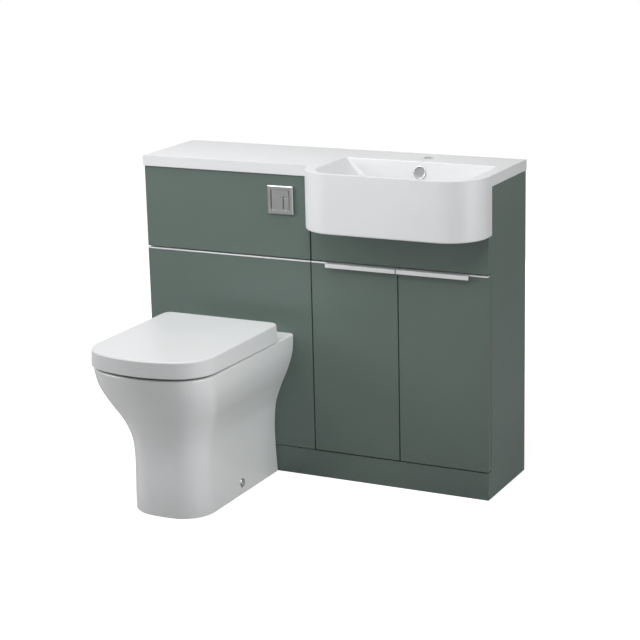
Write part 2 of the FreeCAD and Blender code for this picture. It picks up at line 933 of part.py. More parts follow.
def make_basin_top():
    """One casting: worktop, D-shaped apron in front and the bowl between the sides."""
    slab_left = value.left_x - value.side_overhang - value.bowl_x
    slab = Part.makeBox(
        value.run_width + 2 * value.side_overhang,
        value.run_depth + value.front_overhang,
        value.top_thickness,
        Vector(slab_left, -value.front_overhang, value.carcass_height),
    )
    half = value.bowl_width / 2
    back = value.front_thickness + value.front_gap
    front = value.bowl_projection
    radius = value.bowl_corner
    slant = radius * (1 - math.sqrt(0.5))
    plan = [
        Part.LineSegment(Vector(-half, back, 0), Vector(-half, radius - front, 0)),
        Part.Arc(
            Vector(-half, radius - front, 0),
            Vector(slant - half, slant - front, 0),
            Vector(radius - half, -front, 0),
        ),
        Part.LineSegment(Vector(radius - half, -front, 0), Vector(half - radius, -front, 0)),
        Part.Arc(
            Vector(half - radius, -front, 0),
            Vector(half - slant, slant - front, 0),
            Vector(half, radius - front, 0),
        ),
        Part.LineSegment(Vector(half, radius - front, 0), Vector(half, back, 0)),
        Part.LineSegment(Vector(half, back, 0), Vector(-half, back, 0)),
    ]
    outline = Part.Wire([curve.toShape() for curve in plan])
    outline.translate(Vector(0, 0, value.apron_z))
    apron = extrude_wire(outline, value.bowl_height)
    under_edges = [
        edge
        for edge in apron.Edges
        if edge.BoundBox.ZMax < value.apron_z + value.bowl_edge
        and edge.BoundBox.YMin < back - value.bowl_edge
    ]
    apron = apron.makeFillet(value.bowl_edge, under_edges)

    under_share = value.top_thickness / value.bowl_depth
    hull_bottom = value.bowl_floor_z - value.bowl_wall
    hull = Part.makeLoft(
        [
            bowl_wire(under_share, value.bowl_wall, value.carcass_height),
            bowl_wire(1, value.bowl_wall, hull_bottom),
        ],
        True,
        True,
    )
    cavity = Part.makeLoft(
        [bowl_wire(0, 0, value.top_z), bowl_wire(1, 0, value.bowl_floor_z)], True, True
    )
    waste = Part.makeCylinder(
        value.waste_hole_radius,
        value.bowl_depth,
        Vector(0, value.waste_y, hull_bottom - value.bowl_wall),
    )
    tap = Part.makeCylinder(
        value.tap_hole_radius,
        value.top_thickness + 2 * value.overrun,
        Vector(0, value.tap_hole_y, value.carcass_height - value.overrun),
    )
    overflow_z = value.top_z - value.overflow_drop
    overflow = Part.makeCylinder(
        value.overflow_hole_radius,
        2 * value.bowl_wall + value.hose_setback,
        Vector(0, value.opening_back - value.bowl_wall, overflow_z),
        Vector(0, 1, 0),
    )
    hose_y = hose_line()
    boss_z = value.carcass_height - value.overflow_boss_drop
    boss = Part.makeBox(
        2 * value.overflow_boss,
        hose_y + value.overflow_boss - value.floor_back,
        value.overflow_boss_drop + value.overrun,
        Vector(-value.overflow_boss, value.floor_back, boss_z),
    )
    drop = Part.makeCylinder(
        value.hose_bore, overflow_z - boss_z + value.overrun, Vector(0, hose_y, boss_z - value.overrun)
    )
    socket = Part.makeCylinder(
        value.hose_radius,
        value.overflow_socket + value.overrun,
        Vector(0, hose_y, boss_z - value.overrun),
    )
    body = slab.fuse([apron, hull, boss]).removeSplitter()
    body = body.cut([cavity, waste, tap, overflow, drop, socket]).removeSplitter()
    keep(shaped(body, ("bowl_x", "front_y", "0")), "basin_top")


def make_overflow():
    """The cover disc on the sloping back wall, and the hose behind it to the waste."""
    fall = value.opening_back - value.floor_back
    slope = math.degrees(math.atan2(fall, value.bowl_depth))
    wall_y = value.opening_back - fall * value.overflow_drop / value.bowl_depth
    cover = turned(
        "z",
        ("0", "0", "0"),
        [
            ("0", "0"),
            ("overflow_radius", "0"),
            ("overflow_radius", "overflow_cover * 2 / 3"),
            ("overflow_radius - overflow_cover / 2", "overflow_cover"),
            ("0", "overflow_cover"),
        ],
    )
    stub = rod("z", ("0", "0", "-overflow_stub"), "overflow_hole_radius - overrun", "overflow_stub")
    disc = fuse(cover, stub)
    doc.recompute()
    facing = Rotation(Vector(1, 0, 0), QUARTER_TURN - slope)
    disc.Placement = Placement(Vector(0, wall_y, 0), facing)
    place(disc, ("bowl_x", f"front_y + {wall_share()}", "top_z - overflow_drop"))
    keep(disc, "overflow_cover")

    port_z = value.bowl_floor_z - value.hose_port_drop
    socket_z = value.carcass_height - value.overflow_boss_drop + value.overflow_socket
    start = Vector(0, hose_line(), socket_z)
    down = Vector(0, hose_line(), port_z)
    end = Vector(0, value.waste_y + value.waste_tail_radius, port_z)
    hose = tube([start, down, end], value.hose_radius, value.hose_bore, value.hose_bend)
    keep(shaped(hose, ("bowl_x", "front_y", "0")), "overflow_hose")


def wall_share():
    """The back wall's place at the overflow's height, as an expression."""
    return "opening_back - (opening_back - floor_back) * overflow_drop / bowl_depth"


def bent_path(points, bend):
    """Straight runs between points, joined by tangent arcs of one radius."""
    edges = []
    start = points[0]
    for index in range(1, len(points) - 1):
        corner = points[index]
        before = (corner - points[index - 1]).normalize()
        after = (points[index + 1] - corner).normalize()
        half_turn = before.getAngle(after) / 2
        trim = bend * math.tan(half_turn)
        entry = corner - before * trim
        leave = corner + after * trim
        inward = (after - before).normalize()
        middle = corner + inward * (bend / math.cos(half_turn) - bend)
        edges.append(Part.LineSegment(start, entry).toShape())
        edges.append(Part.Arc(entry, middle, leave).toShape())
        start = leave
    edges.append(Part.LineSegment(start, points[-1]).toShape())
    return Part.Wire(edges)


def tube(points, outer, bore, bend):
    """A bent tube; a bore of zero makes it solid."""
    path = bent_path(points, bend)
    direction = points[1] - points[0]

    def swept(radius):
        circle = Part.Wire(Part.Circle(points[0], direction, radius).toShape())
        return path.makePipeShell([circle], True, False)

    solid = swept(outer)
    if bore == 0:
        return solid
    return solid.cut(swept(bore))


# Waste and trap


def make_waste():
    centre = ("bowl_x", "front_y + waste_y")
    floor = "bowl_floor_z"
    shell = turned(
        "z",
        (*centre, floor),
        [
            ("waste_bore_radius", "-waste_tail"),
            ("waste_tail_radius", "-waste_tail"),
            ("waste_tail_radius", "0"),
            ("waste_flange_radius", "0"),
            ("waste_flange_radius", "waste_flange / 2"),
            ("waste_flange_radius - waste_flange", "waste_flange"),
            ("waste_bore_radius", "waste_flange"),
        ],
    )
    guide = box(
        (
            "bowl_x - waste_bore_radius - overrun / 2",
            "front_y + waste_y - guide_thickness / 2",
            "bowl_floor_z - plug_stem - guide_height",
        ),
        ("2 * waste_bore_radius + overrun", "guide_thickness", "guide_height"),
    )
    port = rod(
        "y",
        ("bowl_x", "front_y + waste_y", "bowl_floor_z - hose_port_drop"),
        "hose_bore",
        "waste_flange_radius",
    )
    keep(cut(fuse(shell, guide), port), "waste_body")

    keep(
        turned(
            "z",
            (*centre, "bowl_floor_z + waste_flange + plug_seat_gap"),
            [
                ("0", "-plug_stem - waste_flange"),
                ("plug_stem_radius", "-plug_stem - waste_flange"),
                ("plug_stem_radius", "0"),
                ("plug_radius", "0"),
                ("plug_radius", "plug_thickness / 2"),
                ("plug_radius - plug_thickness", "plug_thickness"),
                ("0", "plug_thickness"),
            ],
        ),
        "waste_plug",
    )


def make_trap():
    centre = ("bowl_x", "front_y + waste_y")
    cup_top = "bowl_floor_z - waste_tail - trap_neck"
    body = turned(
        "z",
        (*centre, cup_top),
        [
            ("0", "-trap_cup"),
            ("trap_cup_radius - trap_wall", "-trap_cup"),
            ("trap_cup_radius", "-trap_cup + trap_wall"),
            ("trap_cup_radius", "-trap_wall"),
            ("trap_cup_radius - trap_wall", "0"),
            ("waste_bore_radius + trap_wall", "0"),
            ("waste_bore_radius + trap_wall", "trap_neck"),
            ("waste_bore_radius", "trap_neck"),
            ("waste_bore_radius", "-trap_wall"),
            ("trap_cup_radius - trap_wall", "-trap_wall"),
            ("trap_cup_radius - trap_wall", "-trap_cup + trap_wall"),
            ("0", "-trap_cup + trap_wall"),
        ],
    )
    port = rod(
        "y",
        ("bowl_x", "front_y + waste_y", "bowl_floor_z - waste_tail - trap_neck - trap_port_drop"),
        "waste_pipe_radius - waste_pipe_wall",
        "trap_cup_radius + overrun",
    )
    boss = ring(
        "y",
        (
            "bowl_x",
            "front_y + waste_y + trap_cup_radius - trap_boss_depth",
            "bowl_floor_z - waste_tail - trap_neck - trap_port_drop",
        ),
        "waste_pipe_radius + trap_boss",
        "waste_pipe_radius - spigot_step",
        "trap_boss_length",
    )
    keep(fuse(cut(body, port), boss), "bottle_trap")
    bore = "waste_pipe_radius - waste_pipe_wall"
    shoulder = "trap_boss_length - 2 * trap_boss_depth"
    length = "run_depth - waste_y - trap_cup_radius - trap_boss_depth"
    keep(
        turned(
            "y",
            (
                "bowl_x",
                "front_y + waste_y + trap_cup_radius + trap_boss_depth",
                "bowl_floor_z - waste_tail - trap_neck - trap_port_drop",
            ),
            [
                (bore, "0"),
                ("waste_pipe_radius - spigot_step", "0"),
                ("waste_pipe_radius - spigot_step", shoulder),
                ("waste_pipe_radius", shoulder),
                ("waste_pipe_radius", length),
                (bore, length),
            ],
        ),
        "waste_pipe",
    )


def make_nuts():
    """The plastic nuts of the basin waste, the trap and the two cistern valves."""
    waste = ("bowl_x", "front_y + waste_y")
    keep(
        group(
            ring(
                "z",
                (*waste, "bowl_floor_z - bowl_wall - waste_nut"),
                "waste_nut_radius",
                "waste_tail_radius",
                "waste_nut",
            ),
            ring(
                "z",
                (*waste, "bowl_floor_z - waste_tail - trap_nut / 2"),
                "trap_nut_radius",
                "waste_tail_radius",
                "trap_nut",
            ),
            ring(
                "z",
                ("pan_x", "valve_y", "cistern_bottom - backnut"),
                "valve_tail_radius + backnut_rim",
                "valve_tail_radius",
                "backnut",
            ),
            ring(
                "z",
                ("fill_x", "valve_y", "cistern_bottom - backnut"),
                "fill_tail_radius + backnut_rim",
                "fill_tail_radius",
                "backnut",
            ),
        ),
        "pipe_nuts",
    )


# Pan

# Heights of the pan's sections, with how far each has flared from foot to rim
PAN_HEIGHT_SHARES = (0, 0.125, 0.25, 0.375, 0.5, 0.625, 0.75, 0.875, 1)
PAN_WIDTH_SHARES = (0.07, 0.02, -0.01, 0, 0.086, 0.352, 0.695, 0.937, 1)
PAN_REACH_SHARES = (-0.03, 0.02, 0.03, 0.01, 0.03, 0.19, 0.51, 0.82, 1)


def bowed_wire(half_width, reach, front_radius, corner_radius, back, back_radius, z):
    """A closed outline with straight sides, a bowed front and tangent corner arcs."""
    arc_y = front_radius - reach
    corner_x = half_width - corner_radius
    reach_in = front_radius - corner_radius
    corner_y = arc_y - math.sqrt(reach_in**2 - corner_x**2)
    toward = Vector(corner_x, corner_y - arc_y, 0).normalize()
    meet = Vector(corner_x, corner_y, z) + toward * corner_radius
    between = (toward + Vector(1, 0, 0)).normalize()
    crown = Vector(corner_x, corner_y, z) + between * corner_radius
    side = Vector(half_width, corner_y, z)

    def mirrored(point):
        return Vector(-point.x, point.y, point.z)

    def line(first, last):
        return Part.LineSegment(first, last).toShape()

    def arc(first, middle, last):
        return Part.Arc(first, middle, last).toShape()

    edges = [
        arc(side, crown, meet),
        arc(meet, Vector(0, -reach, z), mirrored(meet)),
        arc(mirrored(meet), mirrored(crown), mirrored(side)),
    ]
    if back_radius == 0:
        right_back = Vector(half_width, back, z)
        edges.append(line(mirrored(side), mirrored(right_back)))
        edges.append(line(mirrored(right_back), right_back))
        edges.append(line(right_back, side))
        return Part.Wire(edges)
    slant = back_radius * (1 - math.sqrt(0.5))
    low = Vector(half_width, back - back_radius, z)
    high = Vector(half_width - back_radius, back, z)
    tip = Vector(half_width - slant, back - slant, z)
    edges.append(line(mirrored(side), mirrored(low)))
    edges.append(arc(mirrored(low), mirrored(tip), mirrored(high)))
    edges.append(line(mirrored(high), high))
    edges.append(arc(high, tip, low))
    edges.append(line(low, side))
    return Part.Wire(edges)


def pan_section(height_share, width_share, reach_share, inset, back):
    """The pan's outline at one height, drawn in by a wall."""
    flare = min(max(reach_share, 0), 1)
    width = value.pan_foot_width + (value.pan_rim_width - value.pan_foot_width) * width_share
    reach = value.pan_foot_reach + (value.pan_rim_reach - value.pan_foot_reach) * reach_share
    corner = value.pan_foot_corner + (value.pan_rim_corner - value.pan_foot_corner) * flare
    return bowed_wire(
        width / 2 - inset,
        reach - inset,
        value.pan_front_radius - inset,
        corner - inset,
        back,
        0,
        value.pan_height * height_share,
    )


def pan_loft(inset, back, top):
    """The flared body, up to a height; smooth from foot to rim."""
    rows = zip(PAN_HEIGHT_SHARES, PAN_WIDTH_SHARES, PAN_REACH_SHARES)
    wires = [pan_section(*row, inset, back) for row in rows]
    loft = Part.makeLoft(wires, True, False)
    if top == value.pan_height:
        return loft
    over = Part.makeBox(
        2 * value.pan_rim_width,
        2 * value.pan_rim_reach,
        value.pan_height,
        Vector(-value.pan_rim_width, value.overrun - 2 * value.pan_rim_reach + back, top),
    )
    return loft.cut(over)


def ellipse_wire(width, length, y, z):
    """An ellipse in plan; its long axis is the longer of its two sizes."""
    centre = Vector(0, y, z)
    across = centre + Vector(width / 2, 0, 0)
    along = centre + Vector(0, length / 2, 0)
    if length > width:
        curve = Part.Ellipse(along, across, centre)
    else:
        curve = Part.Ellipse(across, along, centre)
    return Part.Wire(curve.toShape())


BOWL_DEPTH_SHARES = (0, 0.3, 0.6, 0.85, 1)
BOWL_WIDTH_SHARES = (1, 0.94, 0.68, 0.2, 0)
BOWL_SLIDE_SHARES = (0, 0.08, 0.35, 0.85, 1)


def bowl_loft(grow, top):
    """The pan's bowl from its mouth down to the sump, grown by a shell."""
    mouth_y = -value.bowl_mouth_back - value.bowl_mouth_length / 2
    wires = []
    for depth, width, slide in zip(BOWL_DEPTH_SHARES, BOWL_WIDTH_SHARES, BOWL_SLIDE_SHARES):
        wires.append(
            ellipse_wire(
                value.sump_width + (value.bowl_mouth_width - value.sump_width) * width + 2 * grow,
                value.sump_length + (value.bowl_mouth_length - value.sump_length) * width + 2 * grow,
                mouth_y + (-value.sump_y - mouth_y) * slide,
                top - (top - value.sump_z + grow) * depth,
            )
        )
    return Part.makeLoft(wires, True, False)


def capsule(first, last, radius):
    """A straight passage with round ends."""
    run = last - first
    barrel = Part.makeCylinder(radius, run.Length, first, run)
    return barrel.fuse([Part.makeSphere(radius, first), Part.makeSphere(radius, last)])


def trapway(radius, past):
    """The passage from the sump, up over the weir and back down to the outlet."""
    sump = Vector(0, -value.sump_y, value.sump_z + value.trapway_radius)
    weir = Vector(0, -value.trapway_weir_y, value.trapway_weir_z)
    turn = Vector(0, -value.trapway_turn_y, value.outlet_z)
    outlet = Part.makeCylinder(
        radius, value.trapway_turn_y + past, turn, Vector(0, 1, 0)
    )
    return capsule(sump, weir, radius).fuse([capsule(weir, turn, radius), outlet])


def make_pan():
    """The skirt with its rim, and under the rim the bowl with its two passages."""
    outer = pan_loft(0, 0, value.pan_height)
    rim_edges = [
        edge
        for edge in outer.Edges
        if edge.BoundBox.ZMin > value.pan_height - value.overrun / 2
        and edge.BoundBox.YMin < -value.overrun
    ]
    outer = outer.makeFillet(value.pan_edge, rim_edges)
    hollow_top = value.pan_height - value.pan_ledge
    hollow = pan_loft(value.pan_wall, value.overrun, hollow_top)
    bowl_in = bowl_loft(0, value.pan_height)
    above = Part.makeBox(
        value.pan_rim_width,
        value.pan_rim_reach,
        value.pan_ledge + value.overrun,
        Vector(-value.pan_rim_width / 2, -value.pan_rim_reach, hollow_top),
    )
    bowl_out = bowl_loft(value.bowl_shell, value.pan_height).cut(above)
    way_out = trapway(value.trapway_radius + value.trapway_wall, -value.outlet_inset)
    inlet_reach = value.bowl_mouth_back + value.bowl_shell + value.pan_wall
    inlet_start = Vector(0, -inlet_reach, value.inlet_z)
    spigot = Part.makeCylinder(
        value.inlet_radius + value.inlet_wall,
        inlet_reach - value.inlet_inset,
        inlet_start,
        Vector(0, 1, 0),
    )
    way_in = trapway(value.trapway_radius, value.overrun)
    inlet_bore = Part.makeCylinder(
        value.inlet_radius, inlet_reach + value.overrun, inlet_start, Vector(0, 1, 0)
    )
    fixings = []
    for side in (-1, 1):
        fixings.append(
            Part.makeCylinder(
                value.fixing_radius,
                value.pan_ledge + value.overrun,
                Vector(
                    side * value.hinge_spread,
                    -value.hinge_y,
                    value.pan_height - value.fixing_depth,
                ),
            )
        )
        face = Vector(side * (value.pan_foot_width / 2 + value.fix_flat), -value.fix_y, value.fix_z)
        outward = Vector(side, 0, 0)
        fixings.append(
            Part.makeCylinder(
                value.fix_cap_radius + value.fix_clearance, value.pan_wall, face, outward
            )
        )
        fixings.append(
            Part.makeCylinder(
                value.fix_screw_radius,
                2 * value.pan_wall,
                face - outward * (value.pan_wall * 3 / 2),
                outward,
            )
        )
    skirt = outer.cut([hollow, bowl_in, *fixings])
    bowl = bowl_out.fuse([way_out, spigot]).cut([bowl_in, way_in, inlet_bore])
    corner = ("pan_x", "front_y", "0")
    keep(shaped(skirt, corner), "wc_pan")
    keep(shaped(bowl, corner), "wc_pan_bowl")


# Seat and lid


def lid_wire(inset, z, draft):
    return bowed_wire(
        value.lid_width / 2 - inset - draft,
        value.lid_reach - inset - draft,
        value.lid_front_radius - inset - draft,
        value.lid_corner - inset - draft,
        -value.lid_back - inset - draft,
        value.lid_back_corner - inset - draft,
        z,
    )


def hinge_ear(middle_x, hole):
    """A barrel round the hinge pin, open for it."""
    start = Vector(middle_x - value.hinge_ear / 2, -value.hinge_y, value.hinge_z)
    barrel = Part.makeCylinder(value.hinge_barrel, value.hinge_ear, start, Vector(1, 0, 0))
    bore = Part.makeCylinder(
        hole,
        value.hinge_ear + 2 * value.overrun,
        start - Vector(value.overrun, 0, 0),
        Vector(1, 0, 0),
    )
    return barrel, bore


def top_edges(shape, height, margin):
    return [edge for edge in shape.Edges if edge.BoundBox.ZMin > height - margin]


def make_lid():
    """A cap that drops over the seat, with an ear inside each post."""
    cap = Part.makeLoft(
        [lid_wire(0, value.lid_bottom, 0), lid_wire(0, value.lid_top, value.lid_draft)],
        True,
        True,
    )
    cap = cap.makeFillet(value.lid_edge, top_edges(cap, value.lid_top, value.overrun / 2))
    hollow = Part.makeLoft(
        [
            lid_wire(value.lid_wall, value.lid_bottom, 0),
            lid_wire(value.lid_wall, value.lid_top - value.lid_wall, value.lid_draft),
        ],
        True,
        True,
    )
    wall_y = -value.lid_back - value.lid_wall - value.lid_draft - value.overrun / 2
    lift_half = value.lid_width / 2 - value.lid_back_corner
    lift = Part.makeBox(
        2 * lift_half,
        2 * value.lid_wall + value.lid_draft + value.overrun,
        value.lid_back_lift + value.overrun,
        Vector(-lift_half, wall_y, value.lid_bottom - value.overrun),
    )
    low_z = value.lid_bottom - value.overrun
    corner_z = value.lid_bottom + value.lid_corner_lift
    front_z = value.lid_bottom + value.lid_slope
    under = [
        Vector(-value.lid_width, 0, low_z),
        Vector(-value.lid_width, 0, corner_z),
        Vector(-value.lid_width, -value.lid_back, corner_z),
        Vector(-value.lid_width, -value.hinge_y, value.lid_bottom),
        Vector(-value.lid_width, -value.lid_reach, front_z),
        Vector(-value.lid_width, -value.lid_reach - value.overrun, front_z),
        Vector(-value.lid_width, -value.lid_reach - value.overrun, low_z),
    ]
    outline = Part.makePolygon([*under, under[0]])
    slope = Part.Face(outline).extrude(Vector(2 * value.lid_width, 0, 0))
    shell = cap.cut([hollow, lift, slope])
    ears = []
    bores = []
    notches = []
    offset = value.hinge_post / 2 + value.hinge_play + value.hinge_ear / 2
    for side in (-1, 1):
        middle = side * value.hinge_spread
        ear_x = middle - side * offset
        barrel, bore = hinge_ear(ear_x, value.hinge_pin + value.hinge_running)
        web = Part.makeBox(
            value.hinge_ear,
            value.hinge_barrel,
            value.lid_top - value.lid_wall / 2 - value.hinge_z,
            Vector(
                ear_x - value.hinge_ear / 2,
                -value.hinge_y - value.hinge_barrel / 2,
                value.hinge_z,
            ),
        )
        ears.extend([barrel, web])
        bores.append(bore)
        reach = value.hinge_post / 2 + value.hinge_ear + 2 * value.hinge_play
        notches.append(
            Part.makeBox(
                2 * reach,
                2 * value.lid_wall + value.lid_draft + value.overrun,
                value.lid_notch_lift + value.overrun,
                Vector(middle - reach, wall_y, value.lid_bottom - value.overrun),
            )
        )
    lid = shell.cut(notches).fuse(ears).cut(bores)
    keep(shaped(lid, ("pan_x", "front_y", "0")), "toilet_lid")


def seat_wire(inset, z):
    return bowed_wire(
        value.lid_width / 2 - value.seat_inset - inset,
        value.lid_reach - value.seat_inset - inset,
        value.lid_front_radius - value.seat_inset - inset,
        value.lid_corner - value.seat_inset - inset,
        -value.seat_back - inset,
        value.lid_back_corner - inset,
        z,
    )


def seat_hole_wire(grow, z):
    return bowed_wire(
        value.seat_hole_width / 2 + grow,
        value.seat_hole_reach + grow,
        value.seat_hole_front_radius + grow,
        value.seat_hole_corner + grow,
        -value.seat_hole_back + grow,
        value.seat_hole_back_corner + grow,
        z,
    )


def make_seat():
    """A ring, hollow underneath, with an ear outside each post."""
    height = value.seat_top - value.seat_bottom
    ring_body = extrude_wire(seat_wire(0, value.seat_bottom), height)
    ring_body = ring_body.makeFillet(
        value.seat_edge, top_edges(ring_body, value.seat_top, value.overrun / 2)
    )
    hole = extrude_wire(
        seat_hole_wire(0, value.seat_bottom - value.overrun), height + 2 * value.overrun
    )
    channel_height = height - value.seat_wall
    channel = extrude_wire(seat_wire(value.seat_wall, value.seat_bottom), channel_height).cut(
        extrude_wire(seat_hole_wire(value.seat_wall, value.seat_bottom), channel_height)
    )
    ears = []
    bores = []
    offset = value.hinge_post / 2 + value.hinge_play + value.hinge_ear / 2
    for side in (-1, 1):
        ear_x = side * (value.hinge_spread + offset)
        barrel, bore = hinge_ear(ear_x, value.hinge_pin)
        arm = Part.makeBox(
            value.hinge_ear,
            value.seat_back - value.hinge_y + value.seat_wall / 2,
            value.hinge_barrel,
            Vector(
                ear_x - value.hinge_ear / 2,
                -value.seat_back - value.seat_wall / 2,
                value.hinge_z - value.hinge_barrel / 2,
            ),
        )
        ears.extend([barrel, arm])
        bores.append(bore)
    seat = ring_body.cut([hole, channel]).fuse(ears).cut(bores)
    keep(shaped(seat, ("pan_x", "front_y", "0")), "toilet_seat")


def make_seat_hardware():
    posts = []
    pins = []
    plugs = []
    pin_length = "hinge_post + 2 * hinge_ear + 2 * hinge_play"
    for sign in ("-", "+"):
        middle = f"pan_x {sign} hinge_spread"
        foot = box(
            (
                f"{middle} - hinge_post / 2",
                "front_y - hinge_y - hinge_barrel",
                "pan_height",
            ),
            ("hinge_post", "2 * hinge_barrel", "hinge_z - pan_height"),
        )
        head = rod(
            "x",
            (f"{middle} - hinge_post / 2", "front_y - hinge_y", "hinge_z"),
            "hinge_barrel",
            "hinge_post",
        )
        bore = rod(
            "x",
            (f"{middle} - hinge_post", "front_y - hinge_y", "hinge_z"),
            "hinge_pin + hinge_running",
            "2 * hinge_post",
        )
        posts.append(cut(fuse(foot, head), bore))
        pins.append(
            rod(
                "x",
                (f"{middle} - hinge_post / 2 - hinge_ear - hinge_play", "front_y - hinge_y", "hinge_z"),
                "hinge_pin",
                pin_length,
            )
        )
        plugs.append(
            rod(
                "z",
                (middle, "front_y - hinge_y", "pan_height - fixing_depth"),
                "fixing_radius",
                "fixing_depth",
            )
        )
    keep(group(*posts), "seat_hinge_posts")
    keep(group(*pins), "seat_hinge_pins")
    keep(group(*plugs), "seat_fixing_plugs")

    spots = [(sign, y) for sign in ("-", "+") for y in ("buffer_front_y", "buffer_back_y")]
    seat_buffers = [
        rod(
            "z",
            (f"pan_x {sign} seat_buffer_x", f"front_y - {y}", "pan_height + rest_gap"),
            "buffer_radius",
            "seat_top - seat_wall - pan_height - rest_gap",
        )
        for sign, y in spots
    ]
    keep(group(*seat_buffers), "seat_buffers")
    lid_buffers = [
        rod(
            "z",
            (f"pan_x {sign} lid_buffer_x", f"front_y - {y}", "seat_top + rest_gap"),
            "buffer_radius",
            "lid_top - lid_wall - seat_top - rest_gap",
        )
        for sign, y in spots
    ]
    keep(group(*lid_buffers), "lid_buffers")


# Pan fixings and pipes


def make_pan_fixings():
    blocks = []
    screws = []
    for sign in ("-", "+"):
        outer_x = f"pan_x {sign} (pan_foot_width / 2 - pan_wall)"
        block_x = outer_x if sign == "-" else f"{outer_x} - fix_block"
        block = box(
            (block_x, "front_y - fix_y - fix_block / 2", "0"),
            ("fix_block", "fix_block", "fix_block_height"),
        )
        foot_hole = rod(
            "z",
            (f"{block_x} + fix_block / 2", "front_y - fix_y - fix_foot_offset", "-overrun"),
            "fix_foot_hole",
            "fix_block_height + 2 * overrun",
        )
        thread = rod(
            "x",
            (f"{block_x} - overrun", "front_y - fix_y", "fix_z"),
            "fix_screw_radius",
            "fix_block + 2 * overrun",
        )
        blocks.append(cut(block, foot_hole, thread))
        face_x = f"pan_x {sign} (pan_foot_width / 2 + fix_flat)"
        cap_x = f"{face_x} - fix_cap" if sign == "-" else face_x
        cap = rod("x", (cap_x, "front_y - fix_y", "fix_z"), "fix_cap_radius", "fix_cap")
        length = "pan_wall + fix_block"
        shank_x = face_x if sign == "-" else f"{face_x} - {length.replace(' + ', ' - ')}"
        shank = rod("x", (shank_x, "front_y - fix_y", "fix_z"), "fix_screw_radius", length)
        screws.append(fuse(cap, shank))
    keep(group(*blocks), "pan_floor_blocks")
    keep(group(*screws), "pan_fixing_screws")


def make_pipes():
    keep(
        turned(
            "y",
            ("pan_x", "front_y - outlet_inset - soil_grip", "outlet_z"),
            [
                ("trapway_radius + trapway_wall", "0"),
                ("soil_collar", "0"),
                ("soil_collar", "soil_collar_length"),
                ("soil_radius", "soil_collar_length"),
                ("soil_radius", "run_depth + outlet_inset + soil_grip"),
                ("soil_radius - soil_wall", "run_depth + outlet_inset + soil_grip"),
                ("soil_radius - soil_wall", "soil_grip"),
                ("trapway_radius + trapway_wall", "soil_grip"),
            ],
        ),
        "pan_connector",
    )
    top_z = value.cistern_bottom - value.valve_tail + value.pipe_socket
    top = Vector(0, value.valve_y - value.front_y, top_z)
    low = Vector(0, top.y, value.inlet_z)
    end = Vector(0, -value.flush_reach_in, value.inlet_z)
    pipe = tube(
        [top, low, end],
        value.flush_pipe_radius,
        value.flush_pipe_radius - value.flush_pipe_wall,
        value.flush_bend,
    )
    keep(shaped(pipe, ("pan_x", "front_y", "0")), "flush_pipe")
    keep(
        ring(
            "y",
            ("pan_x", "front_y - inlet_inset - cone_length / 2", "inlet_z"),
            "inlet_radius",
            "flush_pipe_radius",
            "cone_length",
        ),
        "flush_pipe_seal",
    )


# Cistern


def make_cistern():
    outer = box(
        ("cistern_x", "cistern_y", "cistern_bottom"),
        ("cistern_width", "cistern_depth", "cistern_height"),
    )
    inner = box(
        (
            "cistern_x + cistern_wall",
            "cistern_y + cistern_wall",
            "cistern_bottom + cistern_wall",
        ),
        (
            "cistern_width - 2 * cistern_wall",
            "cistern_depth - 2 * cistern_wall",
            "cistern_height",
        ),
    )
    outlet = rod(
        "z",
        ("pan_x", "valve_y", "cistern_bottom - overrun"),
        "valve_tail_radius",
        "cistern_wall + 2 * overrun",
    )
    inlet = rod(
        "z",
        ("fill_x", "valve_y", "cistern_bottom - overrun"),
        "fill_tail_radius",
        "cistern_wall + 2 * overrun",
    )
    keep(cut(outer, inner, outlet, inlet), "cistern_tank")

    cover = box(
        ("cistern_x", "cistern_y", "cistern_bottom + cistern_height"),
        ("cistern_width", "cistern_depth", "cistern_lid"),
    )
    tongue = box(
        (
            "cistern_x + cistern_wall",
            "cistern_y + cistern_wall",
            "cistern_bottom + cistern_height - cistern_lid_lap",
        ),
        (
            "cistern_width - 2 * cistern_wall",
            "cistern_depth - 2 * cistern_wall",
            "cistern_lid_lap",
        ),
    )
    keep(fuse(cover, tongue), "cistern_cover")


def make_flush_valve():
    centre = ("pan_x", "valve_y")
    floor = "cistern_bottom + cistern_wall"
    cage = turned(
        "z",
        (*centre, floor),
        [
            ("flush_pipe_radius", "-valve_tail - cistern_wall"),
            ("valve_tail_radius", "-valve_tail - cistern_wall"),
            ("valve_tail_radius", "0"),
            ("tower_radius", "0"),
            ("tower_radius", "tower_height"),
            ("lift_tube_radius + tower_wall", "tower_height"),
            ("lift_tube_radius + tower_wall", "tower_height - tower_wall"),
            ("tower_radius - tower_wall", "tower_height - tower_wall"),
            ("tower_radius - tower_wall", "valve_base"),
            ("flush_pipe_radius", "valve_base"),
        ],
    )
    windows = [
        box(
            (f"pan_x - {x} / 2", f"valve_y - {y} / 2", f"{floor} + valve_base + lift_disc"),
            (x, y, "tower_height / 3"),
        )
        for x, y in (
            ("3 * tower_radius", "tower_radius"),
            ("tower_radius", "3 * tower_radius"),
        )
    ]
    keep(cut(cage, *windows), "flush_valve")
    keep(
        turned(
            "z",
            (*centre, f"{floor} + valve_base + rest_gap"),
            [
                ("lift_tube_radius - tower_wall", "0"),
                ("lift_disc_radius", "0"),
                ("lift_disc_radius", "lift_disc"),
                ("lift_tube_radius", "lift_disc"),
                ("lift_tube_radius", "lift_tube_height"),
                ("lift_tube_radius - tower_wall", "lift_tube_height"),
            ],
        ),
        "flush_valve_lift",
    )


